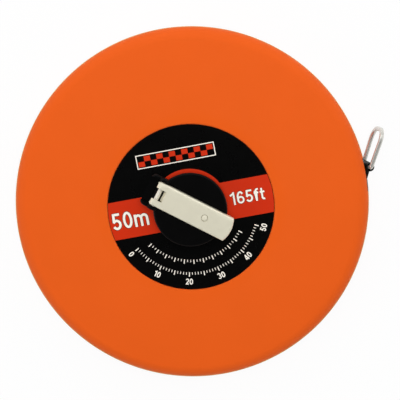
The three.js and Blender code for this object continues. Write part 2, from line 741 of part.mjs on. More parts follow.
function hub() {
  const spigotRadius = hubRadius - hubSpigotStep;
  const inner = hubRadius - hubWall;
  const outline = [
    at(inner - hubSpigotStep, rearFlangeBottomZ),
    at(spigotRadius, rearFlangeBottomZ),
    at(spigotRadius, windingBottomZ),
    at(hubRadius, windingBottomZ),
    at(hubRadius, windingTopZ + fitGap),
    at(hubFlangeRadius, windingTopZ + fitGap),
    at(hubFlangeRadius, frontFlangeTopZ),
    at(inner, frontFlangeTopZ),
    at(inner, webTopZ),
    at(inner - hubSpigotStep, webBottomZ),
  ];
  const shellTube = revolve(outline, bearingFacets);
  const web = rod(inner + hubWall / 2, webBottomZ, webTopZ, bearingFacets);
  const hexRadius = (driveHexInradius + fitGap) / Math.cos(Math.PI / 6);
  const socketRadius = hexRadius + socketWall;
  const socket = rod(socketRadius, webBottomZ, windingTopZ, bearingFacets);
  const ribs = around(hubRibCount, (angle) => {
    const length = inner + hubWall / 2 - (socketRadius - socketWall / 2);
    const middle = (inner + hubWall / 2 + socketRadius - socketWall / 2) / 2;
    const tall = windingTopZ - webBottomZ;
    const bar = new THREE.BoxGeometry(length, hubRibWall, tall);
    return solid(bar.translate(middle, 0, webBottomZ + tall / 2).rotateZ(angle + Math.PI / hubRibCount));
  });
  const hexHole = rod(hexRadius, webTopZ, frontFlangeTopZ + cutOverrun, 6);
  const spindleHole = rod(spindleRadius + fitGap, webBottomZ - cutOverrun, webTopZ + cutOverrun, smallFacets);
  const screwHoles = around(hubScrewCount, (angle) => {
    const [x, y] = [hubScrewCircle * Math.cos(angle), hubScrewCircle * Math.sin(angle)];
    return rod(screwHoleRadius, webBottomZ - cutOverrun, webTopZ + cutOverrun, smallFacets, x, y);
  });
  const halfSlot = anchorSlotWidth / 2;
  const anchorSlot = block(
    [inner - cutOverrun, -halfSlot, windingBottomZ],
    [hubRadius + cutOverrun, halfSlot, windingTopZ],
  );
  return cut(joined(shellTube, web, socket, ...ribs), hexHole, spindleHole, ...screwHoles, anchorSlot);
}

function hubRearFlange() {
  const bore = hubRadius - hubSpigotStep + fitGap;
  return tube(hubFlangeRadius, bore, rearFlangeBottomZ, windingBottomZ - fitGap, bearingFacets);
}

// The wedge that jams the tape's inner end in the hub's slot
function anchorWedge() {
  const halfWidth = anchorSlotWidth / 2 - fitGap;
  return block(
    [hubRadius - hubWall, -halfWidth, windingBottomZ + anchorEndMargin],
    [hubRadius - fitGap, halfWidth, windingTopZ - anchorEndMargin],
  );
}

function thrustWasher() {
  const outer = hubRadius - hubSpigotStep;
  const top = rearFlangeBottomZ - fitGap;
  return tube(outer, outer - washerBand, top - thrustWasherThickness, top, bearingFacets);
}

// A wavy steel washer that brakes the hub, so that the tape doesn't overrun
function waveWasher() {
  const outer = hubRadius - hubSpigotStep - washerInset;
  const inner = outer - washerBand + 2 * washerInset;
  const foot = shellFloorZ + thrustRibHeight + fitGap;
  const corners = [
    at(inner, foot),
    at(outer, foot),
    at(outer, foot + waveWasherThickness),
    at(inner, foot + waveWasherThickness),
    at(inner, foot),
  ];
  const ring = new THREE.LatheGeometry(corners, bearingFacets).rotateX(Math.PI / 2);
  const places = ring.attributes.position;
  for (let i = 0; i < places.count; i += 1) {
    const angle = Math.atan2(places.getY(i), places.getX(i));
    const lift = waveHeight * (1 + Math.cos(waveCount * angle));
    places.setZ(i, places.getZ(i) + lift);
  }
  return solid(ring);
}

// The wound tape: its outer layer spirals in from where the tape leaves, and the layers below it are plain
function windingRing() {
  const points = Array.from({ length: caseFacets + 1 }, (_, i) => {
    const turn = i / caseFacets;
    const radius = windingRadius - tapeThickness * turn;
    const angle = leaveAngle - 2 * Math.PI * turn;
    return at(radius * Math.cos(angle), radius * Math.sin(angle));
  });
  const shape = new THREE.Shape(points);
  const bore = new THREE.Path();
  bore.absarc(0, 0, hubRadius + fitGap, 0, 2 * Math.PI, false);
  shape.holes.push(bore);
  return slab(shape, windingBottomZ, windingTopZ, bearingFacets);
}

// The tape end's own frame: X runs out along the tape, and the tape's middle plane is y = 0
function tapeRivetPlaces() {
  return tapeRivetShares.map((share) => ({ x: sleeveBackX + tapeRivetBackset, z: share * tapeWidth }));
}

function tapeTail() {
  const [halfThick, halfWide] = [tapeThickness / 2, tapeWidth / 2];
  const strip = block([0, -halfThick, -halfWide], [tailTipX, halfThick, halfWide]);
  const holes = tapeRivetPlaces().map(({ x, z }) =>
    crossRod(tapeRivetRadius + fitGap, tapeThickness + cutOverrun, smallFacets, x, z),
  );
  return cut(strip, ...holes);
}

function tapeEndSleeve() {
  const [halfThick, halfWide] = [sleeveThickness / 2, tapeWidth / 2 - sleeveInset];
  const legs = block([sleeveBackX, -halfThick, -halfWide], [tailRun, halfThick, halfWide]);
  const loop = solid(barRod(loopRadius, 2 * halfWide));
  const bore = solid(barRod(loopBore, 2 * halfWide + 2 * cutOverrun));
  const pocketHalf = tapeThickness / 2 + fitGap;
  const pocketEnd = tailTipX + fitGap;
  const pocket = block(
    [sleeveBackX - cutOverrun, -pocketHalf, -halfWide - cutOverrun],
    [pocketEnd, pocketHalf, halfWide + cutOverrun],
  );
  const holes = tapeRivetPlaces().map(({ x, z }) =>
    crossRod(tapeRivetRadius + fitGap, sleeveThickness + cutOverrun, smallFacets, x, z),
  );
  return cut(legs.add(loop), bore, pocket, ...holes);
}

// A round wire bent along a closed flat path, which is given in X and Z
function closedWire(path, radius, sides) {
  const positions = [];
  const faces = [];
  const count = path.length;
  path.forEach((point, i) => {
    const ahead = path[(i + 1) % count].clone().sub(point).normalize();
    const behind = point.clone().sub(path[(i + count - 1) % count]).normalize();
    const tangent = ahead.clone().add(behind).normalize();
    const mitre = radius / Math.sqrt((1 + ahead.dot(behind)) / 2);
    for (let side = 0; side < sides; side += 1) {
      const angle = (2 * Math.PI * side) / sides;
      const out = mitre * Math.cos(angle);
      positions.push(point.x + tangent.y * out, radius * Math.sin(angle), point.y - tangent.x * out);
      const next = (side + 1) % sides;
      const [here, there] = [i * sides, ((i + 1) % count) * sides];
      faces.push(here + side, here + next, there + side, here + next, there + next, there + side);
    }
  });
  const geometry = new THREE.BufferGeometry();
  geometry.setAttribute("position", new THREE.Float32BufferAttribute(positions, 3));
  geometry.setIndex(faces);
  return solid(geometry);
}

// The wire ring in its own frame: its bar lies along Z through the origin and it widens out along X
function endRing() {
  const barHalf = ringBarWidth / 2 - ringWireRadius;
  const tipHalf = ringTipWidth / 2 - ringWireRadius;
  const far = ringLength - 2 * ringWireRadius;
  const lean = Math.atan2(tipHalf - barHalf, far);
  const legTurn = Math.PI / 2 + lean;
  const path = new THREE.Path();
  const bend = (x, side, corner, start, end) => {
    const z = barHalf + x * Math.tan(lean) - corner / Math.cos(lean);
    path.absarc(x, side * z, corner, start, end, false);
  };
  bend(far - ringTipCorner, 1, ringTipCorner, 0, legTurn);
  bend(ringBarCorner, 1, ringBarCorner, legTurn, Math.PI);
  bend(ringBarCorner, -1, ringBarCorner, Math.PI, 2 * Math.PI - legTurn);
  bend(far - ringTipCorner, -1, ringTipCorner, 2 * Math.PI - legTurn, 2 * Math.PI);
  const points = path.getPoints(bendSteps);
  return closedWire(points, ringWireRadius, wireSides);
}

// The whole tape, as one tree of groups
const tapeReel = new THREE.Group();

const caseGroup = new THREE.Group();
caseGroup.add(piece("rear_shell", rearShell(), orangePlastic));
caseGroup.add(piece("front_shell", frontShell(), orangePlastic));
caseGroup.add(piece("front_label", frontLabel(), labelPrint));
caseGroup.add(piece("mouthpiece", mouthpiece(), blackPlastic));
caseGroup.add(piece("drag_spring_washer", waveWasher(), springSteel));
screwAngles().forEach((angle, i) => {
  const mesh = piece(`case_screw_${i + 1}`, screw(screwLength), zincSteel);
  mesh.position.set(bossCircle * Math.cos(angle), bossCircle * Math.sin(angle), screwSeatDepth - fitGap);
  caseGroup.add(mesh);
});

const crankGroup = new THREE.Group();
crankGroup.rotation.z = crankAngle * degree;
crankGroup.add(piece("crank_disc", crankDisc(), blackPlastic));
crankGroup.add(piece("arm_leaf_spring", leafSpring(), springSteel));
crankGroup.add(piece("arm_hinge_pin", hingePin(), zincSteel));
crankGroup.add(piece("crank_arm", crankArm(), satinNickel));
const knobPostMesh = piece("knob_post", knobPost(), satinNickel);
knobPostMesh.position.x = knobX;
const knobMesh = piece("winding_knob", windingKnob(), blackPlastic);
knobMesh.position.x = knobX;
crankGroup.add(knobPostMesh, knobMesh);
const hubMesh = piece("hub", hub(), naturalPlastic);
crankGroup.add(hubMesh);
crankGroup.add(piece("hub_rear_flange", hubRearFlange(), naturalPlastic));
crankGroup.add(piece("tape_anchor_wedge", anchorWedge(), blackPlastic));
crankGroup.add(piece("thrust_washer", thrustWasher(), naturalPlastic));
around(hubScrewCount, (angle) => angle).forEach((angle, i) => {
  const mesh = piece(`hub_screw_${i + 1}`, screw(hubScrewLength), zincSteel);
  mesh.position.set(hubScrewCircle * Math.cos(angle), hubScrewCircle * Math.sin(angle), webBottomZ - fitGap);
  crankGroup.add(mesh);
});

const windingMesh = piece("wound_tape", windingRing(), tapeVinyl);

const tapeEndGroup = new THREE.Group();
tapeEndGroup.rotation.z = exitAngle;
tapeEndGroup.position.set(tapeLine * Math.cos(leaveAngle), tapeLine * Math.sin(leaveAngle), seamZ);
tapeEndGroup.add(piece("tape_tail", tapeTail(), tapeVinyl));
tapeEndGroup.add(piece("tape_end_sleeve", tapeEndSleeve(), blackPlastic));
tapeRivetPlaces().forEach(({ x, z }, i) => {
  const rivet = piece(`tape_rivet_${i + 1}`, crossRod(tapeRivetRadius, sleeveThickness, smallFacets, x, z), zincSteel);
  tapeEndGroup.add(rivet);
});

const twistGroup = new THREE.Group();
twistGroup.position.x = tailRun;
twistGroup.rotation.x = ringTwist * degree;
const ringMesh = piece("end_ring", endRing(), brightChrome);
ringMesh.rotation.z = -ringSwing * degree;
twistGroup.add(ringMesh);
tapeEndGroup.add(twistGroup);

tapeReel.add(caseGroup, crankGroup, windingMesh, tapeEndGroup);

export default tapeReel;
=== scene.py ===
from math import acos, asin, atan2, cos, pi, radians, sin, sqrt, tan

import bmesh
import bpy
from mathutils import Matrix, Vector


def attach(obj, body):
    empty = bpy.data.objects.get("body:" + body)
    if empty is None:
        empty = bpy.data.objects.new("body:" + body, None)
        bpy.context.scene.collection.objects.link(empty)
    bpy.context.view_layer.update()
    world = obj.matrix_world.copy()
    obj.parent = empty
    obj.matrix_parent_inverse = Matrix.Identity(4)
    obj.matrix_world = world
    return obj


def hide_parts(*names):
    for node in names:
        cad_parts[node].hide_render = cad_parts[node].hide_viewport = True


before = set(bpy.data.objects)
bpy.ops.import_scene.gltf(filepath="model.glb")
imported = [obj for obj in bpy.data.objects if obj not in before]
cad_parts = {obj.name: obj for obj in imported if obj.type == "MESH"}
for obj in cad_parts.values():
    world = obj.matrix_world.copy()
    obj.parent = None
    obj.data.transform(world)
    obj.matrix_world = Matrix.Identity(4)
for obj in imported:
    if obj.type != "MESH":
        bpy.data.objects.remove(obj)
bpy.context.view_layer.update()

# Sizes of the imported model, in millimetres
MM = 0.001
CASE_RADIUS = 95.0
CASE_THICKNESS = 27.0
WALL = 2.5
SHOULDER_RADIUS = 8.0
FACE_FLAT_RADIUS = 46.0
CROWN_ANGLE = radians(3.5)
SEAM_Z = CASE_THICKNESS / 2
GAP = 0.3
OVERRUN = 1.0
BORE_RADIUS = 15.3
TAPE_WIDTH = 13.0
TAPE_THICKNESS = 0.43

# How finely the turned and bent shapes are divided
CASE_SEGMENTS = 240
ROUND_SEGMENTS = 120
SMALL_SEGMENTS = 48

# How near points and how level faces count as one, and which edges are rounded or look sharp
WELD = 1e-4
FLAT_ANGLE = radians(0.5)
BEVEL_ANGLE = radians(50)
BEVEL_SEGMENTS = 2
SHARP_ANGLE = radians(38)


# Meshes
# Every mesh is made in millimetres and brought to metres when it becomes a piece.

def loft(rings, closed=False):
    """A welded skin over rings with equally many points, closed on itself or by two caps."""
    count = len(rings[0])
    spans = len(rings) if closed else len(rings) - 1
    faces = []
    for i in range(spans):
        here, there = i * count, (i + 1) % len(rings) * count
        for k in range(count):
            after = (k + 1) % count
            faces.append((here + k, here + after, there + after, there + k))
    if not closed:
        last = (len(rings) - 1) * count
        faces += [tuple(range(count)), tuple(range(last, last + count))]
    mesh = bpy.data.meshes.new("made")
    mesh.from_pydata([tuple(p) for ring in rings for p in ring], [], faces)
    work = bmesh.new()
    work.from_mesh(mesh)
    bmesh.ops.remove_doubles(work, verts=work.verts, dist=WELD)
    bmesh.ops.recalc_face_normals(work, faces=work.faces)
    work.to_mesh(mesh)
    work.free()
    return mesh


def turned(outline, segments):
    """A closed outline of radius and height, turned about Z."""
    angles = [2 * pi * i / segments for i in range(segments)]
    return loft([[(r * cos(a), r * sin(a), z) for r, z in outline] for a in angles], closed=True)


def filleted(corners, steps=4):
    """An outline from (x, y, radius) corners, each rounded to its radius."""
    points = []
    for i, (x, y, radius) in enumerate(corners):
        corner = Vector((x, y))
        if radius == 0:
            points.append((x, y))
            continue
        before = (Vector(corners[i - 1][:2]) - corner).normalized()
        after = (Vector(corners[(i + 1) % len(corners)][:2]) - corner).normalized()
        half = before.angle(after) / 2
        centre = corner + (before + after).normalized() * (radius / sin(half))
        start = corner + before * (radius / tan(half)) - centre
        end = corner + after * (radius / tan(half)) - centre
        sweep = start.angle_signed(end)
        for k in range(steps + 1):
            spoke = Matrix.Rotation(-sweep * k / steps, 2) @ start
            points.append(tuple(centre + spoke))
    return points


def arc(x, y, radius, start, end, steps):
    """Points along an arc, its angles in radians."""
    turns = [start + (end - start) * k / steps for k in range(steps + 1)]
    return [(x + radius * cos(a), y + radius * sin(a)) for a in turns]


def fan(ends, steps):
    """Angles in radians, spread evenly between two ends in degrees."""
    start, end = ends
    return [radians(start + (end - start) * i / steps) for i in range(steps + 1)]


def prism(outline_at, levels):
    """A flat shape given height: its outline at an inset, at levels of (inset, z)."""
    return loft([[(x, y, z) for x, y in outline_at(inset)] for inset, z in levels])


def slab(outline, low, high):
    return loft([[(x, y, z) for x, y in outline] for z in (low, high)])


def rounded_levels(bottom, top, bend, steps):
    """Levels of a prism whose upper edge is rounded."""
    bends = [pi / 2 * k / steps for k in range(steps + 1)]
    return [(0, bottom)] + [(bend * (1 - cos(a)), top - bend * (1 - sin(a))) for a in bends]


def rod(radius, bottom, top, segments=SMALL_SEGMENTS, x=0.0, y=0.0):
    """An upright rod."""
    mesh = turned([(0, bottom), (radius, bottom), (radius, top), (0, top)], segments)
    return moved(mesh, shift(x, y))


def places_round(circle, first, count):
    """Places spread evenly round a circle, the first at an angle in degrees."""
    angles = [radians(first + 360 / count * i) for i in range(count)]
    return [(circle * cos(a), circle * sin(a)) for a in angles]


def rods_at(places, radius, bottom, top):
    return [rod(radius, bottom, top, x=x, y=y) for x, y in places]


def tube(outer, inner, bottom, top, segments):
    return turned([(inner, bottom), (outer, bottom), (outer, top), (inner, top)], segments)


def cross_rod(radius, length, x, z):
    """A rod along Y, centred on y = 0."""
    mesh = rod(radius, -length / 2, length / 2)
    return moved(mesh, shift(x, 0, z) @ spin(pi / 2, "X"))


def box(low, high):
    x0, y0, z0 = low
    x1, y1, z1 = high
    return slab([(x0, y0), (x1, y0), (x1, y1), (x0, y1)], z0, z1)


def shift(x, y, z=0.0):
    return Matrix.Translation((x, y, z))


def spin(angle, axis="Z"):
    return Matrix.Rotation(angle, 4, axis)


def moved(mesh, matrix):
    mesh.transform(matrix)
    return mesh


def placed(name, data):
    """A new object in the scene."""
    thing = bpy.data.objects.new(name, data)
    bpy.context.scene.collection.objects.link(thing)
    return thing


def applied(thing):
    """The mesh of a work object with its modifiers applied; the object goes."""
    bpy.context.view_layer.update()
    graph = bpy.context.evaluated_depsgraph_get()
    mesh = bpy.data.meshes.new_from_object(thing.evaluated_get(graph))
    bpy.data.objects.remove(thing)
    return mesh


def boolean(base, tools, operation):
    """The base joined with, cut by or kept within the tools, one after the other."""
    body = placed("work", base)
    helpers = [placed("work", tool) for tool in tools]
    for helper in helpers:
        step = body.modifiers.new("step", "BOOLEAN")
        step.operation = operation
        step.solver = "MANIFOLD"
        step.object = helper
    mesh = applied(body)
    for helper in helpers:
        bpy.data.objects.remove(helper)
    return mesh


def joined(base, *tools):
    return boolean(base, tools, "UNION")


def cut(base, *tools):
    return boolean(base, tools, "DIFFERENCE")


def common(base, *tools):
    return boolean(base, tools, "INTERSECT")


def softened(mesh, width):
    """The mesh with its sharp edges rounded by a small bevel."""
    work = bmesh.new()
    work.from_mesh(mesh)
    bmesh.ops.dissolve_limit(work, angle_limit=FLAT_ANGLE, verts=work.verts, edges=work.edges)
    work.to_mesh(mesh)
    work.free()
    body = placed("work", mesh)
    step = body.modifiers.new("edge", "BEVEL")
    step.width = width
    step.segments = BEVEL_SEGMENTS
    step.limit_method = "ANGLE"
    step.angle_limit = BEVEL_ANGLE
    return applied(body)


def piece(name, mesh, body, material, replaces=(), place=Matrix()):
    """A finished piece in metres, shaded smooth up to a sharp angle, riding on its body."""
    mesh.transform(place)
    mesh.transform(Matrix.Scale(MM, 4))
    mesh.materials.clear()
    mesh.materials.append(material)
    mesh.polygons.foreach_set("use_smooth", [True] * len(mesh.polygons))
    mesh.set_sharp_from_angle(angle=SHARP_ANGLE)
    work = placed("work", mesh)
    step = work.modifiers.new("normals", "WEIGHTED_NORMAL")
    step.weight = 100
    step.keep_sharp = True
    finished = applied(work)
    finished.name = name
    thing = placed(name, finished)
    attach(thing, body)
    if replaces:
        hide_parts(*replaces)
    return thing


# Materials

class Nodes:
    """The node tree of a material or a world."""

    def __init__(self, owner):
        owner.use_nodes = True
        self.tree = owner.node_tree

    def link(self, source, target):
        self.tree.links.new(source, target)

    def node(self, kind, inputs=None, **attributes):
        """A node whose inputs are each set to a value or linked to a socket."""
        made = self.tree.nodes.new(kind)
        for key, value in attributes.items():
            setattr(made, key, value)
        for key, value in (inputs or {}).items():
            if isinstance(value, bpy.types.NodeSocket):
                self.link(value, made.inputs[key])
            else:
                made.inputs[key].default_value = value
        return made


class Shader(Nodes):
    """A Principled material and the nodes that drive it."""

    def __init__(self, name, colour, roughness, **sockets):
        self.material = bpy.data.materials.new(name)
        super().__init__(self.material)
        self.main = self.tree.nodes["Principled BSDF"]
        sockets |= {"Base_Color": (*colour, 1.0), "Roughness": roughness}
        for socket, value in sockets.items():
            self.main.inputs[socket.replace("_", " ")].default_value = value
        self.places = self.node("ShaderNodeTexCoord").outputs["Object"]

    def stretched(self, scale, turn):
        """Object coordinates turned about Z, and then scaled along each axis."""
        places = self.places
        for socket, value in (("Rotation", (0, 0, turn)), ("Scale", scale)):
            mapping = self.node("ShaderNodeMapping", {socket: value, "Vector": places})
            places = mapping.outputs["Vector"]
        return places

    def noise(self, scale, detail=2.0, places=None):
        """Noise with a given number of features per metre."""
        inputs = {"Scale": scale, "Detail": detail, "Vector": places or self.places}
        return self.node("ShaderNodeTexNoise", inputs).outputs["Fac"]

    def span(self, source, low, high, from_low=0.3, from_high=0.7):
        """A value brought from one range to another."""
        inputs = {"Value": source, "From Min": from_low, "From Max": from_high,
                  "To Min": low, "To Max": high}
        return self.node("ShaderNodeMapRange", inputs).outputs["Result"]

    def blended(self, amount, first, second):
        """Two colours mixed by an amount, in the mix node's sockets for colours."""
        mix = self.node("ShaderNodeMix", {0: amount, 6: first, 7: second}, data_type="RGBA")
        return mix.outputs[2]

    def paint(self, socket):
        self.link(socket, self.main.inputs["Base Color"])

    def clouded(self, colour, scale, share):
        """A colour that is darker and lighter by a share, in soft clouds."""
        amount = self.span(self.noise(scale, 3), 0, 1)
        self.paint(self.blended(amount, tinted(colour, 1 - share), tinted(colour, 1 + share)))

    def gloss(self, source, low, high):
        self.link(self.span(source, low, high), self.main.inputs["Roughness"])

    def relief(self, height, depth):
        """Bump of a real depth in metres from a height between 0 and 1."""
        bump = self.node("ShaderNodeBump", {"Strength": 1.0, "Distance": depth, "Height": height})
        self.link(bump.outputs["Normal"], self.main.inputs["Normal"])


def tinted(colour, factor):
    return (*[min(1.0, c * factor) for c in colour], 1.0)


def plastic(name, colour, rough, grain, depth, cloud=0.03, **sockets):
    """Moulded plastic: spark-eroded grain, slightly uneven gloss and faint clouding."""
    shader = Shader(name, colour, sum(rough) / 2, **sockets)
    shader.clouded(colour, 45, cloud)
    shader.gloss(shader.noise(240, 4), *rough)
    shader.relief(shader.noise(grain, 2), depth)
    return shader.material


def printed(name, colour, rough, cloud, shine):
    """Print on the label's smooth film."""
    return plastic(name, colour, rough, 1500, 1e-6, cloud, Specular_IOR_Level=shine)


def metal(name, colour, rough, streak, depth=1e-6, turn=0.0, cloud=0.04, metallic=1.0):
    """Plated or drawn metal: fine streaks one way and a slightly uneven polish."""
    shader = Shader(name, colour, sum(rough) / 2, Metallic=metallic)
    lines = shader.noise(1.0, 3, shader.stretched(streak, turn))
    shader.clouded(colour, 300, cloud)
    shader.gloss(lines, *rough)
    shader.relief(lines, depth)
    return shader.material


CRANK_TURN = radians(-28.3)

ORANGE = (0.790, 0.1090, 0.0105)
BLACK = (0.0020, 0.0020, 0.0021)

# Roughness is given from low to high, grain and streaks as features per metre, depth in metres
case_plastic = plastic(
    "case_plastic", ORANGE, rough=(0.46, 0.56), grain=2600, depth=6e-6, cloud=0.012,
    Specular_IOR_Level=0.08, Sheen_Weight=0.9, Sheen_Roughness=0.25,
    Sheen_Tint=(0.6, 1.0, 0.3, 1.0))
black_plastic = plastic(
    "black_plastic", BLACK, rough=(0.30, 0.38), grain=2200, depth=3e-6, cloud=0.08,
    Specular_IOR_Level=0.12)
natural_plastic = plastic(
    "natural_plastic", (0.72, 0.68, 0.57), rough=(0.42, 0.55), grain=1200, depth=4e-6,
    Subsurface_Weight=0.15, Subsurface_Scale=0.002)
sleeve_vinyl = plastic(
    "sleeve_vinyl", (0.005, 0.005, 0.005), rough=(0.42, 0.56), grain=1800, depth=1.2e-5,
    cloud=0.15, Specular_IOR_Level=0.2)
label_black = printed(
    "label_black", (0.0016, 0.0016, 0.0016), rough=(0.26, 0.32), cloud=0.06, shine=0.2)
label_red = printed(
    "label_red", (0.59, 0.029, 0.0058), rough=(0.28, 0.34), cloud=0.03, shine=0.15)
label_white = printed(
    "label_white", (0.94, 0.88, 0.78), rough=(0.30, 0.38), cloud=0.015, shine=0.2)
satin_nickel = metal(
    "satin_nickel", (0.86, 0.82, 0.65), rough=(0.44, 0.52), streak=(150, 2600, 900),
    depth=4e-7, turn=-CRANK_TURN, cloud=0.015, metallic=0.35)
bright_chrome = metal(
    "bright_chrome", (0.68, 0.67, 0.62), rough=(0.12, 0.20), streak=(900, 900, 260),
    depth=8e-7, metallic=0.55)
zinc_steel = metal(
    "zinc_steel", (0.62, 0.63, 0.62), rough=(0.26, 0.42), streak=(1200, 1200, 1200),
    cloud=0.08)
pin_steel = metal(
    "pin_steel", (0.92, 0.88, 0.76), rough=(0.40, 0.50), streak=(1200, 300, 1200),
    depth=5e-7, turn=-CRANK_TURN, metallic=0.35)
spring_steel = metal(
    "spring_steel", (0.045, 0.047, 0.055), rough=(0.26, 0.40), streak=(200, 2400, 900),
    turn=-CRANK_TURN)

# Case

SHOULDER_STEPS = 26
CROWN_STEPS = 10


def case_side(inset=0.0):
    """Half of the case's side view, from the edge of the flat face to the seam."""
    centre_r = CASE_RADIUS - SHOULDER_RADIUS
    crown_end = centre_r + SHOULDER_RADIUS * sin(CROWN_ANGLE)
    drop = (crown_end - FACE_FLAT_RADIUS) * tan(CROWN_ANGLE) / 2
    centre_z = CASE_THICKNESS - drop - SHOULDER_RADIUS * cos(CROWN_ANGLE)
    bend = SHOULDER_RADIUS - inset
    start = Vector((FACE_FLAT_RADIUS, CASE_THICKNESS - inset))
    end = Vector((centre_r + bend * sin(CROWN_ANGLE), centre_z + bend * cos(CROWN_ANGLE)))
    middle = Vector(((start.x + end.x) / 2, start.y))
    points = []
    for k in range(CROWN_STEPS):
        t = k / CROWN_STEPS
        points.append(tuple((1 - t) ** 2 * start + 2 * t * (1 - t) * middle + t ** 2 * end))
    return points + arc(centre_r, centre_z, bend, pi / 2 - CROWN_ANGLE, 0, SHOULDER_STEPS)


def rear_side(inset=0.0):
    return [(r, CASE_THICKNESS - z) for r, z in case_side(inset)]


SCREW_COUNT = 5
MOUTH_ANGLE = 11.3
BOSS_RADIUS = 2.9
BOSS_CIRCLE = CASE_RADIUS - WALL - GAP - BOSS_RADIUS
SCREW_HOLE = 1.6
SCREW_HEAD_HOLE = 2.6
SCREW_SEAT = 5.2
PILOT_DEPTH = 15.8
SPINDLE_RADIUS = 4.0
SPINDLE_TOP = 17.5
THRUST_OUTER = 16.8
THRUST_INNER = 13.4
THRUST_HEIGHT = 0.7
GATE_RADIUS = 3.0
GATE_DEPTH = 0.35
TONGUE_WALL = 1.1
TONGUE_HEIGHT = 1.8
COLLAR_WALL = 2.5
COLLAR_HEIGHT = 2.2
RIB_WALL = 1.3
RIB_RADII = (37.0, 58.5, 80.0)
SPOKE_COUNT = 6
SPOKE_WALL = 1.2
SPOKE_HEIGHT = 1.8
RIB_GAP = 0.5
INSERT_TURN = radians(9.1)
INSERT_WIDTH = 16.0
INSERT_HEIGHT = 15.0
INSERT_RIM = 0.8
INSERT_RIM_WALL = 0.8
INSERT_CORNER = 0.4
WINDOW_DEPTH = 7.0
LABEL_RADIUS = 44.2
LABEL_BORE = 16.5
LABEL_RECESS = 0.5
LABEL_THICKNESS = 0.35
WINDING_TOP = SEAM_Z + TAPE_WIDTH / 2
WINDING_BOTTOM = SEAM_Z - TAPE_WIDTH / 2
SCREW_PLACES = places_round(BOSS_CIRCLE, MOUTH_ANGLE + 180 / SCREW_COUNT, SCREW_COUNT)


def mouth_block(across, tall):
    """A block through the rim at the mouth, its long edges rounded."""
    w, h, corner = across / 2, tall / 2, INSERT_CORNER
    outline = filleted([(-w, -h, corner), (w, -h, corner), (w, h, corner), (-w, h, corner)])
    upright = spin(pi / 2, "Y") @ spin(pi / 2)
    place = spin(INSERT_TURN) @ shift(0, 0, SEAM_Z)
    block = slab(outline, CASE_RADIUS - WINDOW_DEPTH, CASE_RADIUS + OVERRUN)
    return moved(block, place @ upright)


def case_volume(offset):
    """The whole case as a solid, grown by an offset."""
    side = [(0, -offset)] + rear_side(-offset)[:-1] + list(reversed(case_side(-offset)))
    return turned(side + [(0, CASE_THICKNESS + offset)], CASE_SEGMENTS)


def mouth_window():
    """The window that the insert stands in, with a rebate for its rim at each end."""
    across, tall = INSERT_WIDTH + 2 * GAP, INSERT_HEIGHT + 2 * GAP
    rebate = mouth_block(across + 2 * INSERT_RIM, tall)
    shallow = cut(rebate, case_volume(-INSERT_RIM_WALL - GAP))
    return joined(mouth_block(across, tall), shallow)


def guide_ribs(root, tip):
    """Guide rings and spokes between a shell's inside and the winding."""
    low, high = min(root, tip), max(root, tip)
    ribs = [tube(r + RIB_WALL / 2, r - RIB_WALL / 2, low, high, CASE_SEGMENTS) for r in RIB_RADII]
    reach = SPOKE_HEIGHT + WALL / 2
    spoke_low, spoke_high = (low, low + reach) if tip > root else (high - reach, high)
    for i in range(SPOKE_COUNT):
        bar = box((RIB_RADII[0], -SPOKE_WALL / 2, spoke_low),
                  (RIB_RADII[-1], SPOKE_WALL / 2, spoke_high))
        ribs.append(moved(bar, spin(2 * pi * i / SPOKE_COUNT)))
    return ribs


def front_shell():
    ceiling = CASE_THICKNESS - WALL
    lap_inner = CASE_RADIUS - WALL + TONGUE_WALL + GAP
    lap_top = SEAM_Z + TONGUE_HEIGHT + GAP
    seam = SEAM_Z + GAP / 2
    recess = LABEL_RADIUS + GAP
    floor = CASE_THICKNESS - LABEL_RECESS
    collar_foot = ceiling - COLLAR_HEIGHT
    collar = BORE_RADIUS + COLLAR_WALL
    corners = [(BORE_RADIUS, collar_foot, 0.2), (collar, collar_foot, 0.3), (collar, ceiling, 0.4)]
    corners += [(r, z, 0) for r, z in case_side(WALL)]
    corners += [(CASE_RADIUS - WALL, lap_top, 0), (lap_inner, lap_top, 0),
                (lap_inner, seam, 0.15), (CASE_RADIUS, seam, 0.3)]
    corners += [(r, z, 0) for r, z in reversed(case_side())]
    corners += [(recess, CASE_THICKNESS, 0.2), (recess, floor, 0), (BORE_RADIUS, floor, 0.15)]
    shell = turned(filleted(corners), CASE_SEGMENTS)
    inside = case_side(WALL / 2)[::-1] + [(0, CASE_THICKNESS - WALL / 2)]
    core = turned([(0, SEAM_Z)] + inside, CASE_SEGMENTS)
    bosses = [common(boss, core.copy())
              for boss in rods_at(SCREW_PLACES, BOSS_RADIUS, seam, CASE_THICKNESS)]
    pilots = rods_at(SCREW_PLACES, SCREW_HOLE, seam - OVERRUN, SCREW_SEAT + PILOT_DEPTH)
    ribs = guide_ribs(ceiling + WALL / 2, WINDING_TOP + RIB_GAP)
    return cut(joined(shell, *ribs, *bosses), *pilots, mouth_window())


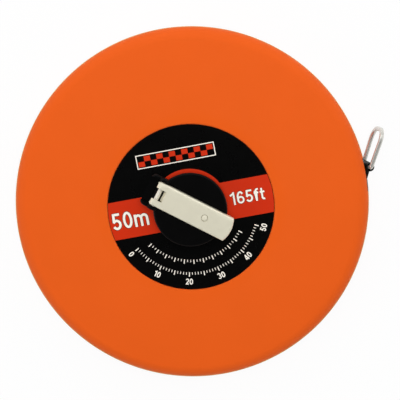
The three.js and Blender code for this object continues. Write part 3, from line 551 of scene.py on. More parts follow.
def rear_shell():
    tongue = CASE_RADIUS - WALL + TONGUE_WALL
    seam = SEAM_Z - GAP / 2
    tongue_top = SEAM_Z + TONGUE_HEIGHT
    corners = [(0, 0, 0)] + [(r, z, 0) for r, z in rear_side()]
    corners += [(CASE_RADIUS, seam, 0.3), (tongue, seam, 0), (tongue, tongue_top, 0.2),
                (CASE_RADIUS - WALL, tongue_top, 0.2)]
    corners += [(r, z, 0) for r, z in reversed(rear_side(WALL))] + [(0, WALL, 0)]
    shell = turned(filleted(corners), CASE_SEGMENTS)
    core = turned([(0, WALL / 2)] + rear_side(WALL / 2) + [(0, SEAM_Z)], CASE_SEGMENTS)
    bosses = [common(boss, core.copy()) for boss in rods_at(SCREW_PLACES, BOSS_RADIUS, 0, seam)]
    pivot = [(0, WALL / 2, 0), (SPINDLE_RADIUS, WALL / 2, 0), (SPINDLE_RADIUS, SPINDLE_TOP, 0.5),
             (0, SPINDLE_TOP, 0)]
    spindle = turned(filleted(pivot), SMALL_SEGMENTS)
    thrust = tube(THRUST_OUTER, THRUST_INNER, WALL / 2, WALL + THRUST_HEIGHT, ROUND_SEGMENTS)
    ribs = guide_ribs(WALL / 2, WINDING_BOTTOM - RIB_GAP)
    shanks = rods_at(SCREW_PLACES, SCREW_HOLE, 0, SEAM_Z)
    hole, chamfer = SCREW_HEAD_HOLE, 0.3
    mouth = hole + chamfer
    sink = [(hole, SCREW_SEAT), (hole, chamfer), (mouth, 0), (mouth, -OVERRUN), (0, -OVERRUN),
            (0, SCREW_SEAT)]
    heads = [moved(turned(sink, SMALL_SEGMENTS), shift(x, y)) for x, y in SCREW_PLACES]
    dimple = [(0, -OVERRUN), (GATE_RADIUS, -OVERRUN), (GATE_RADIUS, GATE_DEPTH - 0.2),
              (GATE_RADIUS - 0.4, GATE_DEPTH), (0, GATE_DEPTH)]
    gate = turned(dimple, SMALL_SEGMENTS)
    whole = joined(shell, *ribs, spindle, thrust, *bosses)
    return cut(whole, *shanks, *heads, gate, mouth_window())


piece("front_shell_case", front_shell(), "case", case_plastic, ["front_shell"])
piece("rear_shell_case", rear_shell(), "case", case_plastic, ["rear_shell"])

# Label

LABEL_BOTTOM = CASE_THICKNESS - LABEL_RECESS
LABEL_TOP = LABEL_BOTTOM + LABEL_THICKNESS
INK = 0.02
LABEL_TILT = radians(9.3)
BAND_WIDTH = 20.3
BAND_DROP = 0.6
RED_RING = 20.1
PRINT_EDGE = 0.25
PRINT_SHIFT = (-0.4, 0.6)
SHEET_EDGE = 0.12
FIGURE_GAP = 0.07
NUMBER_WEIGHT = 0.17
MAJOR_HALF = 0.26
MINOR_HALF = 0.17
STAFF_WALL = 0.5


def label_place(x, y, turn=LABEL_TILT):
    """A place in the print, which sits a little off the label's centre."""
    return shift(x + PRINT_SHIFT[0], y + PRINT_SHIFT[1]) @ spin(turn)


def inked(x0, y0, x1, y1, over=0.0):
    """A rectangle of print, from just under the sheet's face to just above it."""
    return box((x0, y0, LABEL_TOP - INK - over), (x1, y1, LABEL_TOP + INK + over))


def label_disc():
    corners = [(LABEL_BORE, LABEL_BOTTOM, 0), (LABEL_RADIUS, LABEL_BOTTOM, 0),
               (LABEL_RADIUS, LABEL_TOP, SHEET_EDGE), (LABEL_BORE, LABEL_TOP, SHEET_EDGE)]
    return turned(filleted(corners), CASE_SEGMENTS)


def red_print():
    """The band across the label and the ring round the crank disc."""
    low, high = LABEL_TOP - INK, LABEL_TOP + INK
    reach, half = 2 * LABEL_RADIUS, BAND_WIDTH / 2
    band = moved(inked(-reach, -half, reach, half), label_place(0, -BAND_DROP))
    ring = moved(rod(RED_RING, low, high, CASE_SEGMENTS), label_place(0, 0))
    outer, inner = LABEL_RADIUS - PRINT_EDGE, LABEL_BORE + PRINT_EDGE
    disc = tube(outer, inner, low - OVERRUN, high + OVERRUN, CASE_SEGMENTS)
    return common(joined(band, ring), disc)


def oval(x, y, across, tall, start, end, steps=14):
    """Points along part of an ellipse, its angles in degrees."""
    return [(x + across * cos(a), y + tall * sin(a)) for a in fan((start, end), steps)]


# The width and the middle lines of each plain figure, for a height of 1. A line that ends where
# it starts is a ring.
FIGURES = {
    "0": (0.58, [oval(0.29, 0.5, 0.2, 0.41, 90, 450, 40)]),
    "1": (0.42, [[(0.30, 0), (0.30, 1.0)], [(0.33, 0.93), (0.05, 0.73)]]),
    "2": (0.56, [oval(0.28, 0.69, 0.19, 0.22, 165, -10) + [(0.40, 0.47), (0.12, 0.13)],
                 [(0.04, 0.09), (0.53, 0.09)]]),
    "3": (0.56, [oval(0.25, 0.71, 0.19, 0.20, 160, -90),
                 oval(0.26, 0.30, 0.21, 0.21, 90, -160)]),
    "4": (0.58, [[(0.40, 0), (0.40, 1.0)], [(0.38, 0.93), (0.07, 0.32)],
                 [(0.0, 0.27), (0.56, 0.27)]]),
    "5": (0.57, [[(0.50, 0.91), (0.09, 0.91)], [(0.16, 0.95), (0.12, 0.45)],
                 oval(0.27, 0.325, 0.2, 0.235, 150, -155)]),
    "6": (0.58, [oval(0.29, 0.315, 0.2, 0.225, 90, 450, 32),
                 oval(0.30, 0.5, 0.21, 0.41, 200, 38)]),
    "m": (0.86, [[(0.09, 0), (0.09, 0.72)], oval(0.26, 0.46, 0.17, 0.18, 180, 0) + [(0.43, 0)],
                 oval(0.60, 0.46, 0.17, 0.18, 180, 0) + [(0.77, 0)]]),
    "f": (0.38, [[(0.15, 0), (0.15, 0.78)] + oval(0.30, 0.78, 0.15, 0.13, 180, 70, 8),
                 [(0.0, 0.64), (0.34, 0.64)]]),
    "t": (0.38, [[(0.14, 0.94), (0.14, 0.22)] + oval(0.27, 0.20, 0.13, 0.115, 180, 290, 8),
                 [(0.0, 0.64), (0.34, 0.64)]]),
}


def directions(points, ring):
    """At each point of a line, its own direction and that of the step ahead."""
    steps = [(there - here).normalized() for here, there in zip(points, points[1:] + points[:1])]
    if not ring:
        steps[-1] = steps[-2]
    behind = [steps[i - 1] if ring or i else steps[0] for i in range(len(steps))]
    return [((ahead + back).normalized(), ahead) for ahead, back in zip(steps, behind)]


def stroke(line, width, low, high):
    """A flat stroke of a given width along a line of points, square at its ends."""
    ring = (Vector(line[0]) - Vector(line[-1])).length < 1e-6
    points = [Vector(p) for p in (line[:-1] if ring else line)]
    left, right = [], []
    for point, (along, ahead) in zip(points, directions(points, ring)):
        across = Vector((-along.y, along.x)) * (width / 2 / max(along.dot(ahead), 0.5))
        left.append(point + across)
        right.append(point - across)
    if ring:
        edges = ((left, low), (right, low), (right, high), (left, high))
        return loft([[(p.x, p.y, z) for p in side] for side, z in edges], closed=True)
    return slab(left + right[::-1], low, high)


def lettering(text, height, spread, weight, layer, centre=(0.0, 0.0), turn=0.0):
    """Plain figures of a height, spread sideways by a factor, centred on a place on the label."""
    low, high = LABEL_TOP - INK, LABEL_TOP + INK * layer
    total = sum(FIGURES[letter][0] + FIGURE_GAP for letter in text) - FIGURE_GAP
    start = -total / 2
    figures = []
    for letter in text:
        across, lines = FIGURES[letter]
        strokes = []
        for line in lines:
            points = [((start + x) * height * spread, (y - 0.5) * height) for x, y in line]
            strokes.append(stroke(points, weight * height, low, high))
        figures.append(joined(strokes[0], *strokes[1:]) if len(strokes) > 1 else strokes[0])
        start += across + FIGURE_GAP
    return moved(merged(figures), label_place(*centre, turn))


def scale_marks(radius, ends, count, every, minor, major):
    """Graduation marks round an arc of the label, longer at every so many."""
    marks = []
    for i, angle in enumerate(fan(ends, count)):
        tall, half = (minor, MINOR_HALF) if i % every else (major, MAJOR_HALF)
        marks.append(moved(inked(radius, -half, radius + tall, half), label_place(0, 0, angle)))
    return merged(marks)


def scale_numbers(radius, ends, words, height):
    """Numbers spread evenly round an arc of the label, upright as seen from the middle."""
    numbers = []
    for word, angle in zip(words, fan(ends, len(words) - 1)):
        place = (radius * cos(angle), radius * sin(angle))
        numbers.append(lettering(word, height, 1.0, NUMBER_WEIGHT, 1.0, place, angle + pi / 2))
    return merged(numbers)


def merged(meshes):
    """Separate meshes in one, without joining their solids."""
    work = bmesh.new()
    for mesh in meshes:
        work.from_mesh(mesh)
    whole = bpy.data.meshes.new("merged")
    work.to_mesh(whole)
    work.free()
    return whole


def staff_strip(length, height, columns):
    """A levelling-staff pattern: a frame, and blocks that alternate between two rows."""
    x, y, wall = length / 2, height / 2, STAFF_WALL
    outer = inked(-x, -y, x, y)
    inner = inked(wall - x, wall - y, x - wall, y - wall, OVERRUN)
    pitch = (length - 4 * wall) / columns
    half = y - 2 * wall
    blocks = []
    for i in range(columns):
        left = 2 * wall - x + pitch * i
        foot, head = (0, half) if i % 2 else (-half, 0)
        blocks.append(inked(left, foot, left + pitch, head))
    return cut(outer, inner), merged(blocks)


def label_piece(name, mesh, material, replaces=(), place=Matrix()):
    piece(name, mesh, "case", material, replaces, place)


label_piece("label_sheet", label_disc(), label_black, ["front_label"])
label_piece("label_red", red_print(), label_red)

# Each length has a dark edge under its white figures
LENGTHS = (("metres", "50m", 9.2, 1.0, (-32.0, -6.2)), ("feet", "165ft", 6.8, 1.06, (30.5, 5.0)))
LAYERS = (("shadow", 0.20, 1.4, label_black), ("figures", 0.145, 1.8, label_white))
for word, text, height, spread, centre in LENGTHS:
    for part, weight, layer, material in LAYERS:
        shape = lettering(text, height, spread, weight, layer, centre, LABEL_TILT)
        label_piece(f"label_{word}_{part}", shape, material)

STAFF_PLACE = label_place(-6.9, 27.2)
white_strip, red_strip = staff_strip(length=42, height=7.4, columns=12)
label_piece("label_strip_white", white_strip, label_white, place=STAFF_PLACE)
label_piece("label_strip_red", red_strip, label_red, place=STAFF_PLACE)

# The ends of the two scales, in degrees
METRE_ENDS = (218, 343)
FEET_ENDS = (223, 332)
METRES = "0 10 20 30 40 50".split()
SCALES = (
    ("metre_scale", scale_marks(35.4, METRE_ENDS, count=50, every=5, minor=1.4, major=2.4)),
    ("metre_numbers", scale_numbers(40.5, METRE_ENDS, METRES, height=3.3)),
    ("feet_scale", scale_marks(28.6, FEET_ENDS, count=33, every=3, minor=1.3, major=2.3)),
)
for part, shape in SCALES:
    label_piece(f"label_{part}", shape, label_white)

# Crank

CRANK = spin(CRANK_TURN)
DISC_RADIUS = 19.35
DISC_BOTTOM = CASE_THICKNESS + GAP
DISC_TOP = 35.5
DISC_ROUND = 1.0
DISC_DRAFT = 1.2
EAR_RADIUS = 26.5
EAR_HALF = 8.85
EAR_CORNER = 2.5
HINGE_X = -18.45
PIN_Z = 35.0
ARM_WIDTH = 13.0
ARM_HEIGHT = 6.0
ARM_TOP = 38.0
ARM_WALL = 1.2
ARM_TIP_X = 23.7
ARM_TIP_RADIUS = 15.0
ARM_TIP_HEIGHT = 2.8
ARM_TAPER = 13.0
ARM_HEEL = HINGE_X - ARM_HEIGHT / 2
ARM_HEEL_ROUND = 2.0
ARM_BEND = 1.0
ARM_INNER_BEND = 0.3
KNOB_X = 8.45
KNOB_RADIUS = 5.0
KNOB_NECK = 4.4
KNOB_BOTTOM = 27.8
KNOB_TOP = 35.7
KNOB_ROUND = 1.0
POST_FLANGE = 1.0
POST_HOLE = 1.8
WELL_RADIUS = 6.0
WELL_DEPTH = 0.5
JOURNAL_RADIUS = 15.0
JOURNAL_BOTTOM = 21.8
HEXAGON_HALF = 9.0
HEXAGON_BOTTOM = 11.6
HEXAGON_TOP = 22.8
HUB_SCREW_CIRCLE = 6.7
HUB_SCREW_TOP = 19.0
POCKET_END = -8.65
POCKET_HALF = 6.5
POCKET_FLOOR = 30.8
LUG_RADIUS = 2.8
PIN_RADIUS = 1.2
NOTCH_WIDTH = 6.1
NOTCH_DEPTH = 6.45
NOTCH_CORNER = 0.5
TAB_DEPTH = 3.0
TAB_BEND = 0.2
TAB_LEAN = 1.3


def ear_outline(inset):
    radius, half, corner = EAR_RADIUS - inset, EAR_HALF - inset, EAR_CORNER - inset
    centre_y = EAR_HALF - EAR_CORNER
    end = asin(centre_y / EAR_RADIUS)
    corner_x = EAR_CORNER - EAR_RADIUS * cos(end)
    points = [(0, -half), (0, half)]
    points += arc(corner_x, centre_y, corner, pi / 2, pi - end, 8)
    points += arc(0, 0, radius, pi - end, pi + end, 20)[1:-1]
    points += arc(corner_x, -centre_y, corner, pi + end, 1.5 * pi, 8)
    return points


def crank_disc():
    shoulder = DISC_TOP - 2 * DISC_ROUND
    edge = rounded_levels(DISC_BOTTOM, DISC_TOP, DISC_ROUND, 6)[1:]
    side = [(0, DISC_BOTTOM), (DISC_RADIUS - DISC_DRAFT, DISC_BOTTOM), (DISC_RADIUS, shoulder)]
    side += [(DISC_RADIUS - inset, z) for inset, z in edge] + [(0, DISC_TOP)]
    disc = turned(side, CASE_SEGMENTS)
    ear = prism(ear_outline, [(DISC_DRAFT, DISC_BOTTOM), (0, shoulder)] + edge)
    lug = [(HINGE_X + LUG_RADIUS, shoulder)] + arc(HINGE_X, PIN_Z, LUG_RADIUS, 0, pi, 32)
    lugs = side_prism(lug + [(HINGE_X - LUG_RADIUS, shoulder)], 2 * EAR_HALF, 0.5)
    journal = rod(JOURNAL_RADIUS, JOURNAL_BOTTOM, DISC_BOTTOM + 2, ROUND_SEGMENTS)
    hexagon = moved(rod(HEXAGON_HALF / cos(pi / 6), HEXAGON_BOTTOM, HEXAGON_TOP, 6), spin(pi / 6))
    half = ARM_WIDTH / 2 + GAP
    floor = PIN_Z - ARM_HEIGHT / 2 - GAP
    channel = box((-2 * EAR_RADIUS, -half, floor), (2 * EAR_RADIUS, half, ARM_TOP + OVERRUN))
    well = rod(WELL_RADIUS, KNOB_BOTTOM - WELL_DEPTH, ARM_TOP, ROUND_SEGMENTS, KNOB_X)
    pocket = box((HINGE_X - LUG_RADIUS, -POCKET_HALF, POCKET_FLOOR),
                 (POCKET_END, POCKET_HALF, floor + OVERRUN))
    pin_hole = cross_rod(PIN_RADIUS + GAP, 2 * EAR_HALF + OVERRUN, HINGE_X, PIN_Z)
    below = HEXAGON_BOTTOM - OVERRUN
    spindle_bore = rod(SPINDLE_RADIUS + GAP, below, SPINDLE_TOP + 1)
    pilots = rods_at(places_round(HUB_SCREW_CIRCLE, 0, 3), SCREW_HOLE, below, HUB_SCREW_TOP)
    whole = joined(disc, ear, lugs, journal, hexagon)
    tools = (channel, well, pocket, pin_hole, spindle_bore, *pilots)
    return softened(cut(whole, *tools), width=0.15)


def side_prism(outline, width, corner=0.0):
    """A side view in X and Z given width along Y, its two outer edges rounded off."""
    half = width / 2
    rings = []
    middle_x = sum(p[0] for p in outline) / len(outline)
    middle_z = sum(p[1] for p in outline) / len(outline)
    for y, inset in ((-half, corner), (corner - half, 0), (half - corner, 0), (half, corner)):
        ring = []
        for x, z in outline:
            spoke = Vector((x - middle_x, z - middle_z))
            spoke *= 1 - inset / max(spoke.length, inset, 1e-6)
            ring.append((middle_x + spoke.x, y, middle_z + spoke.y))
        rings.append(ring)
    return loft(rings if corner else [rings[0], rings[-1]])


def tip_arc(inset):
    """The arm's convex tip in plan, and half its width there."""
    half, radius = ARM_WIDTH / 2 - inset, ARM_TIP_RADIUS - inset
    tip = asin(half / radius)
    return arc(ARM_TIP_X - ARM_TIP_RADIUS, 0, radius, -tip, tip, 24), half


def arm_outline(inset):
    points, half = tip_arc(inset)
    corner = max(ARM_HEEL_ROUND - inset, 0.05)
    x, y = ARM_HEEL + inset + corner, half - corner
    points += arc(x, y, corner, pi / 2, pi, 8)
    return points + arc(x, -y, corner, pi, 1.5 * pi, 8)


def hollow_outline(inset):
    points, half = tip_arc(ARM_WALL + inset)
    return points + [(ARM_HEEL - OVERRUN, half), (ARM_HEEL - OVERRUN, -half)]


def arm_side():
    heel = ARM_HEIGHT / 2
    far = ARM_TIP_X + OVERRUN
    points = [(far, ARM_TOP + OVERRUN), (HINGE_X, ARM_TOP + OVERRUN), (HINGE_X, ARM_TOP)]
    points += arc(HINGE_X, PIN_Z, heel, pi / 2, 1.5 * pi, 32)[1:]
    return points + [(ARM_TIP_X - ARM_TAPER, PIN_Z - heel), (far, ARM_TOP - ARM_TIP_HEIGHT)]


def heel_tab(plate_x):
    """The tab that is bent down from the plate at the notch, behind the hinge pin."""
    low, inside, plate = ARM_TOP - TAB_DEPTH, plate_x + OVERRUN, ARM_TOP - ARM_WALL
    side = [(inside, ARM_TOP, 0), (plate_x, ARM_TOP, 0.3), (plate_x - TAB_LEAN, low, 0),
            (plate_x - TAB_BEND, low, 0), (plate_x, plate, 0), (inside, plate, 0)]
    return side_prism(filleted(side), NOTCH_WIDTH - 2 * GAP)


def crank_arm():
    below = PIN_Z - ARM_HEIGHT / 2 - OVERRUN
    plate = ARM_TOP - ARM_WALL
    blank = prism(arm_outline, rounded_levels(below, ARM_TOP, ARM_BEND, 6))
    hollow = prism(hollow_outline, rounded_levels(below - OVERRUN, plate, ARM_INNER_BEND, 4))
    back, edge, half = ARM_HEEL - OVERRUN, ARM_HEEL + NOTCH_DEPTH, NOTCH_WIDTH / 2
    ends = filleted([(back, -half, 0), (edge, -half, NOTCH_CORNER),
                     (edge, half, NOTCH_CORNER), (back, half, 0)])
    notch = slab(ends, below - OVERRUN, ARM_TOP + OVERRUN)
    pin_hole = cross_rod(PIN_RADIUS + GAP, ARM_WIDTH + OVERRUN, HINGE_X, PIN_Z)
    post_hole = rod(POST_HOLE, plate - OVERRUN, ARM_TOP + OVERRUN, x=KNOB_X)
    shaped = common(blank, side_prism(arm_side(), ARM_WIDTH + OVERRUN))
    pressed = joined(cut(shaped, hollow, notch, pin_hole, post_hole), heel_tab(edge))
    return softened(pressed, width=0.12)


def hinge_pin():
    reach = EAR_HALF - GAP
    corners = [(0, -reach, 0), (PIN_RADIUS, -reach, 0.2), (PIN_RADIUS, reach, 0.2), (0, reach, 0)]
    upright = turned(filleted(corners), SMALL_SEGMENTS)
    return moved(upright, shift(HINGE_X, 0, PIN_Z) @ spin(pi / 2, "X"))


def leaf_spring():
    """A leaf that bows up a little under the arm's heel."""
    start, end = HINGE_X - LUG_RADIUS + GAP, POCKET_END - GAP
    bottom = POCKET_FLOOR + GAP
    thickness, bow, steps = 0.5, 0.15, 16
    lower, upper = [], []
    for k in range(steps + 1):
        t = k / steps
        sag = 4 * t * (1 - t)
        x = start + (end - start) * t
        lower.append((x, bottom + bow * (1 - sag)))
        upper.append((x, bottom + thickness - bow * sag))
    return softened(side_prism(lower + upper[::-1], 2 * (POCKET_HALF - GAP)), width=0.1)


def knob_post():
    """A shouldered post, with a flange under the knob and a head that shows on the arm."""
    foot, high, top = KNOB_BOTTOM + GAP, 36.5, ARM_TOP - 0.1
    ledge, low = foot + POST_FLANGE, high - 0.5
    flange, shank, collar, head = 2.4, 1.5, 2.7, 1.56
    corners = [(0, foot, 0), (flange, foot, 0.25), (flange, ledge, 0.15), (shank, ledge, 0.1),
               (shank, low, 0.1), (collar, low, 0.15), (collar, high, 0.1), (head, high, 0),
               (head, top, 0.15), (0, top, 0)]
    return moved(turned(filleted(corners), SMALL_SEGMENTS), shift(KNOB_X, 0))


def winding_knob():
    """A grip that narrows upwards, with a counterbore for the post's flange."""
    counter, steps = 2.7, 16
    counter_top = KNOB_BOTTOM + GAP + POST_FLANGE + GAP
    run = KNOB_TOP - KNOB_BOTTOM - KNOB_ROUND - 0.5
    corners = [(counter, KNOB_BOTTOM, 0.2), (KNOB_RADIUS, KNOB_BOTTOM, KNOB_ROUND)]
    for k in range(1, steps + 1):
        t = k / steps
        ease = t * t * (3 - 2 * t)
        corners.append((KNOB_RADIUS + (KNOB_NECK - KNOB_RADIUS) * ease,
                        KNOB_BOTTOM + KNOB_ROUND + run * t, 0))
    corners += [(KNOB_NECK, KNOB_TOP, 0.3), (POST_HOLE, KNOB_TOP, 0.15),
                (POST_HOLE, counter_top, 0), (counter, counter_top, 0)]
    return moved(turned(filleted(corners, 6), ROUND_SEGMENTS), shift(KNOB_X, 0))


piece("crank_disc_moulding", crank_disc(), "reel", black_plastic,
      ["crank_disc"], CRANK)
piece("crank_arm_pressing", crank_arm(), "arm", satin_nickel, ["crank_arm"], CRANK)
piece("hinge_pin", hinge_pin(), "reel", pin_steel, ["arm_hinge_pin"], CRANK)
piece("leaf_spring", leaf_spring(), "reel", spring_steel,
      ["arm_leaf_spring"], CRANK)
piece("knob_rivet_post", knob_post(), "arm", satin_nickel, ["knob_post"], CRANK)
piece("knob_grip", winding_knob(), "knob", black_plastic, ["winding_knob"], CRANK)

# Mouth and tape end

WINDING_GAP = 1.4
WINDING_RADIUS = BOSS_CIRCLE - BOSS_RADIUS - WINDING_GAP
TAPE_LINE = WINDING_RADIUS + GAP + TAPE_THICKNESS / 2
BAR_CIRCLE = CASE_RADIUS + 1.6
TAIL_RUN = sqrt(BAR_CIRCLE ** 2 - TAPE_LINE ** 2)
LEAVE_ANGLE = radians(MOUTH_ANGLE) - acos(TAPE_LINE / BAR_CIRCLE)
EXIT_ANGLE = LEAVE_ANGLE + pi / 2
TAPE_END = spin(EXIT_ANGLE) @ shift(0, -TAPE_LINE, SEAM_Z)
WIRE_RADIUS = 1.2
LOOP_BORE = WIRE_RADIUS + GAP
LOOP_WALL = 0.8
LOOP_RADIUS = LOOP_BORE + LOOP_WALL
SLEEVE_WALL = 0.5
SLEEVE_THICKNESS = TAPE_THICKNESS + 2 * GAP + 2 * SLEEVE_WALL
SLEEVE_LENGTH = 9
SLEEVE_BACK = TAIL_RUN - LOOP_RADIUS - SLEEVE_LENGTH
RIVET_BACKSET = 3
RIVET_HOLE = 1.2
TAIL_TIP = SLEEVE_BACK + 2 * RIVET_BACKSET
RING_TWIST = radians(7)
RING_SWING = radians(-2)
RING_BAR_WIDTH = 18.2
RING_TIP_WIDTH = 21.4
RING_LENGTH = 23.0
RING_BAR = shift(TAIL_RUN, 0) @ spin(RING_TWIST, "X")
RING_PLACE = TAPE_END @ RING_BAR @ spin(RING_SWING)


def loop_rod(radius, length):
    """A rod along the ring's bar, in the tape end's frame."""
    return moved(rod(radius, -length / 2, length / 2), RING_BAR)


def tape_passage():
    """The room that the tape, its folded end and the ring's bar need through the mouth."""
    half_tall, margin = TAPE_WIDTH / 2 + 0.4, 0.45
    wide = SLEEVE_THICKNESS + 2 * margin
    reach = TAIL_RUN + LOOP_RADIUS
    slot = box((-reach, -wide / 2, -half_tall), (reach, wide / 2, half_tall))
    rooms = [slot, loop_rod(LOOP_RADIUS + margin, 2 * half_tall),
             loop_rod(WIRE_RADIUS + margin, RING_BAR_WIDTH)]
    return [moved(room, TAPE_END) for room in rooms]


def mouthpiece():
    """The insert that the tape slides through: a plug through the window, a lip inside the
    wall and a rim flush with its outside."""
    lip, lip_height, lip_wall = 1.8, 17.0, 1.6
    core = case_volume(-WALL - GAP - lip_wall)
    skin = cut(case_volume(0), core.copy())
    plug = common(mouth_block(INSERT_WIDTH, INSERT_HEIGHT), skin)
    shallow = cut(case_volume(0), case_volume(-INSERT_RIM_WALL))
    rim = common(mouth_block(INSERT_WIDTH + 2 * INSERT_RIM, INSERT_HEIGHT), shallow)
    inside = cut(case_volume(-WALL - GAP), core)
    lips = common(mouth_block(INSERT_WIDTH + 2 * (lip + GAP), lip_height), inside)
    return softened(cut(joined(plug, rim, lips), *tape_passage()), width=0.12)


RIVET_PLACES = [(SLEEVE_BACK + RIVET_BACKSET, z * TAPE_WIDTH) for z in (-0.25, 0.25)]


def end_sleeve():
    half_thick, half_wide = SLEEVE_THICKNESS / 2, TAPE_WIDTH / 2 - GAP
    legs = box((SLEEVE_BACK, -half_thick, -half_wide), (TAIL_RUN, half_thick, half_wide))
    pocket_half = TAPE_THICKNESS / 2 + GAP
    pocket = box((SLEEVE_BACK - OVERRUN, -pocket_half, -half_wide - OVERRUN),
                 (TAIL_TIP + GAP, pocket_half, half_wide + OVERRUN))
    holes = [cross_rod(RIVET_HOLE, SLEEVE_THICKNESS + OVERRUN, x, z) for x, z in RIVET_PLACES]
    folded = joined(legs, loop_rod(LOOP_RADIUS, 2 * half_wide))
    bore = loop_rod(LOOP_BORE, 2 * half_wide + OVERRUN)
    return softened(cut(folded, bore, pocket, *holes), width=0.12)


def rivet(x, z):
    """A tubular rivet with a low dome on either side of the sleeve."""
    half, dome = SLEEVE_THICKNESS / 2, 0.2
    crown, brim, shank = 0.8, 1.35, 0.9
    upper = [(shank, half), (brim, half), (crown, half + dome * 0.8), (0, half + dome)]
    side = [(r, -z) for r, z in reversed(upper)] + upper
    place = TAPE_END @ shift(x, 0, z) @ spin(pi / 2, "X")
    return moved(turned(side, SMALL_SEGMENTS), place)


def end_ring():
    """The closed wire ring, its bar along Z through the origin of its own frame."""
    bar_half = RING_BAR_WIDTH / 2 - WIRE_RADIUS
    tip_half = RING_TIP_WIDTH / 2 - WIRE_RADIUS
    far = RING_LENGTH - 2 * WIRE_RADIUS
    tip, bar, steps, sides = 6.5, 1.5, 12, 24
    lean = atan2(tip_half - bar_half, far)
    leg = pi / 2 + lean
    tip_z = bar_half + (far - tip) * tan(lean) - tip / cos(lean)
    bar_z = bar_half + bar * tan(lean) - bar / cos(lean)
    half = arc(far - tip, tip_z, tip, 0, leg, steps) + arc(bar, bar_z, bar, leg, pi, steps)
    path = half + [(x, -z) for x, z in reversed(half)]
    section = arc(0, 0, WIRE_RADIUS, 0, 2 * pi, sides)[:-1]
    rings = []
    for (x, z), (along, _) in zip(path, directions([Vector(p) for p in path], ring=True)):
        rings.append([(x + along.y * u, v, z - along.x * u) for u, v in section])
    return loft(rings, closed=True)


piece("mouth_insert", mouthpiece(), "case", black_plastic, ["mouthpiece"])
piece("folded_end", end_sleeve(), "tape_end", sleeve_vinyl,
      ["tape_end_sleeve"], TAPE_END)
for i, (x, z) in enumerate(RIVET_PLACES):
    piece(f"end_rivet_{i + 1}", rivet(x, z), "tape_end", zinc_steel,
          [f"tape_rivet_{i + 1}"])
piece("wire_ring", end_ring(), "ring", bright_chrome, ["end_ring"], RING_PLACE)

# Case screws


def case_screw(x, y):
    """A pan-head screw with a cross recess in its head, which looks out of the rear."""
    seat = SCREW_SEAT - GAP
    radius, height, dome, neck, length = 2.3, 1.6, 1.0, 1.1, 15
    root, crest, pitch, turns = 1.0, 1.3, 0.45, 27
    head = seat - height
    bends = [pi / 2 * k / 8 for k in range(1, 9)]
    side = [(0, head)] + [(radius * sin(a), head + dome * (1 - cos(a))) for a in bends]
    side += [(radius, seat), (neck, seat), (neck, seat + 0.8)]
    side += [(crest if k % 2 else root, seat + 1 + pitch * k) for k in range(turns)]
    body = turned(side + [(0, seat + length)], SMALL_SEGMENTS)
    deep, wide, thin = 1.0, 1.4, 0.35
    slots = [box((-a, -b, head - OVERRUN), (a, b, head + deep))
             for a, b in ((wide, thin), (thin, wide))]
    return moved(cut(body, *slots), shift(x, y))


for i, (x, y) in enumerate(SCREW_PLACES):
    piece(f"case_screw_{i + 1}_zinc", case_screw(x, y), "case", zinc_steel,
          [f"case_screw_{i + 1}"])

# Carried-over nodes


def tape_shader():
    """Yellow coated glass-fibre tape with a thin black line across it at each 5 mm."""
    yellow, ink = (0.78, 0.56, 0.03, 1), (0.01, 0.01, 0.01, 1)
    pitch, line_from, line_to = 0.005, 0.00018, 0.00024
    shader = Shader("tape_vinyl", yellow[:3], 0.4)
    along = shader.stretched((1, 1, 1), -EXIT_ANGLE)
    x = shader.node("ShaderNodeSeparateXYZ", {"Vector": along}).outputs["X"]
    lines = shader.node("ShaderNodeMath", {0: x, 1: pitch / 2}, operation="PINGPONG")
    weave = shader.noise(900, 2)
    base = shader.blended(weave, yellow, (0.70, 0.48, 0.02, 1))
    edge = shader.span(lines.outputs[0], 1, 0, line_from, line_to)
    shader.paint(shader.blended(edge, base, ink))
    shader.gloss(weave, 0.34, 0.5)
    shader.relief(weave, 1e-5)
    return shader.material


def winding_shader():
    """The edges of the wound turns: fine rings in two yellows."""
    shader = Shader("wound_tape_edges", (0.72, 0.50, 0.03), 0.5)
    inputs = {"Scale": 370, "Distortion": 0.6, "Vector": shader.places}
    rings = shader.node("ShaderNodeTexWave", inputs, wave_type="RINGS", rings_direction="Z")
    dark, light = (0.40, 0.26, 0.02, 1), (0.78, 0.56, 0.04, 1)
    shader.paint(shader.blended(rings.outputs["Fac"], dark, light))
    shader.gloss(shader.noise(400), 0.4, 0.6)
    shader.relief(rings.outputs["Fac"], 8e-5)
    return shader.material


CARRIED = (
    (tape_shader(), "tape_tail"),
    (winding_shader(), "wound_tape"),
    (natural_plastic, "hub", "hub_rear_flange", "thrust_washer"),
    (black_plastic, "tape_anchor_wedge"),
    (spring_steel, "drag_spring_washer"),
    (zinc_steel, "hub_screw_1", "hub_screw_2", "hub_screw_3"),
)
for material, *nodes in CARRIED:
    for kept in (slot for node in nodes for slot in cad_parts[node].material_slots):
        kept.material = material

# Stage, light and camera

FLOOR_WHITE = 0.92
WORLD_LEAN = radians(-14)
WORLD_STOPS = ((0.0, 0.7), (0.40, 0.7), (0.78, 0.06), (1.0, 0.02))
LAMP_DISTANCE = 1.3


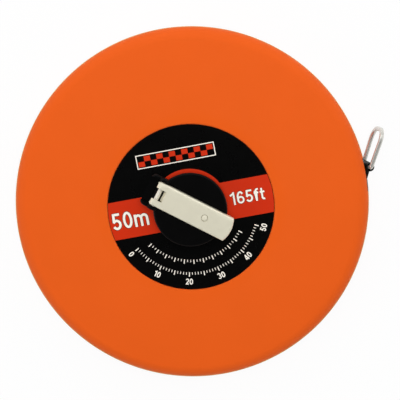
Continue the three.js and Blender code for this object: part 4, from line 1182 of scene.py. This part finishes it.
def stage_floor():
    """A pale floor that the camera and mirrors see as white, with the object's shadow on it."""
    reach, level = 4.0, -1e-4
    corners = [(x * reach, y * reach, level) for x, y in ((-1, -1), (1, -1), (1, 1), (-1, 1))]
    mesh = bpy.data.meshes.new("floor")
    mesh.from_pydata(corners, [], [(0, 1, 2, 3)])
    floor = placed("floor", mesh)
    shader = Shader("floor", (FLOOR_WHITE,) * 3, 0.9, Specular_IOR_Level=0.0)
    path = shader.node("ShaderNodeLightPath")
    seen = path.outputs["Is Camera Ray"]
    for output in ("Is Glossy Ray", "Is Transmission Ray"):
        pair = {0: seen, 1: path.outputs[output]}
        seen = shader.node("ShaderNodeMath", pair, operation="MAXIMUM").outputs[0]
    share = shader.node("ShaderNodeMath", {0: seen, 1: FLOOR_WHITE}, operation="MULTIPLY")
    white = shader.node("ShaderNodeEmission", {"Strength": 1.0})
    mixed = shader.node("ShaderNodeMixShader", {
        0: share.outputs[0], 1: shader.main.outputs["BSDF"], 2: white.outputs["Emission"]})
    surface = shader.tree.nodes["Material Output"].inputs["Surface"]
    shader.link(mixed.outputs["Shader"], surface)
    mesh.materials.append(shader.material)


def studio_world():
    """A white room that darkens overhead, so that flat glossy faces stay dark."""
    world = bpy.data.worlds.new("studio")
    bpy.context.scene.world = world
    sky = Nodes(world)
    places = sky.node("ShaderNodeTexCoord").outputs["Generated"]
    leaning = sky.node("ShaderNodeMapping", {"Rotation": (WORLD_LEAN, 0, 0), "Vector": places})
    apart = sky.node("ShaderNodeSeparateXYZ", {"Vector": leaning.outputs["Vector"]})
    ramp = sky.node("ShaderNodeValToRGB", {"Fac": apart.outputs["Z"]})
    stops = ramp.color_ramp
    stops.interpolation = "EASE"
    while len(stops.elements) < len(WORLD_STOPS):
        stops.elements.new(0.5)
    for element, (place, value) in zip(stops.elements, WORLD_STOPS):
        element.position = place
        element.color = (value, value, value, 1)
    background = sky.tree.nodes["Background"]
    sky.link(ramp.outputs["Color"], background.inputs["Color"])
    background.inputs["Strength"].default_value = 1.0


def softbox(name, azimuth, elevation, power, size=0.9, mirrored=True):
    """A round soft lamp that looks at the object; azimuth runs from +X towards +Y."""
    data = bpy.data.lights.new(name, "AREA")
    data.shape = "DISK"
    data.size = size
    data.energy = power
    lamp = placed(name, data)
    a, e = radians(azimuth), radians(elevation)
    back = Vector((cos(a) * cos(e), sin(a) * cos(e), sin(e)))
    lamp.location = back * LAMP_DISTANCE
    lamp.rotation_mode = "QUATERNION"
    lamp.rotation_quaternion = back.to_track_quat("Z", "Y")
    lamp.visible_camera = False
    lamp.visible_glossy = mirrored


def camera():
    """The photograph's camera: nearly overhead, a little above the object's middle."""
    target = Vector((4.755, 3.086, 20)) * MM
    lean = (0.0313, 0.1358)
    back = Vector((*lean, sqrt(1 - lean[0] ** 2 - lean[1] ** 2)))
    distance, roll, field = 510.7 * MM, -0.0252, 0.4134
    side = Vector((0, 1, 0)).cross(back).normalized()
    up = back.cross(side)
    right = cos(roll) * side + sin(roll) * up
    upright = cos(roll) * up - sin(roll) * side
    data = bpy.data.cameras.new("camera")
    data.sensor_width = 36
    data.lens = data.sensor_width / 2 / tan(field / 2)
    eye = placed("camera", data)
    turn = Matrix((right, upright, back)).transposed().to_4x4()
    eye.matrix_world = Matrix.Translation(target + back * distance) @ turn
    bpy.context.scene.camera = eye


stage_floor()
studio_world()
softbox("key", azimuth=105, elevation=40, power=2.0)
softbox("fill", azimuth=40, elevation=36, power=1.3)
softbox("low", azimuth=205, elevation=38, power=1.5, size=0.7)
softbox("front", azimuth=77, elevation=80, power=10.6, mirrored=False)
camera()
bpy.context.scene.view_settings.view_transform = "Standard"
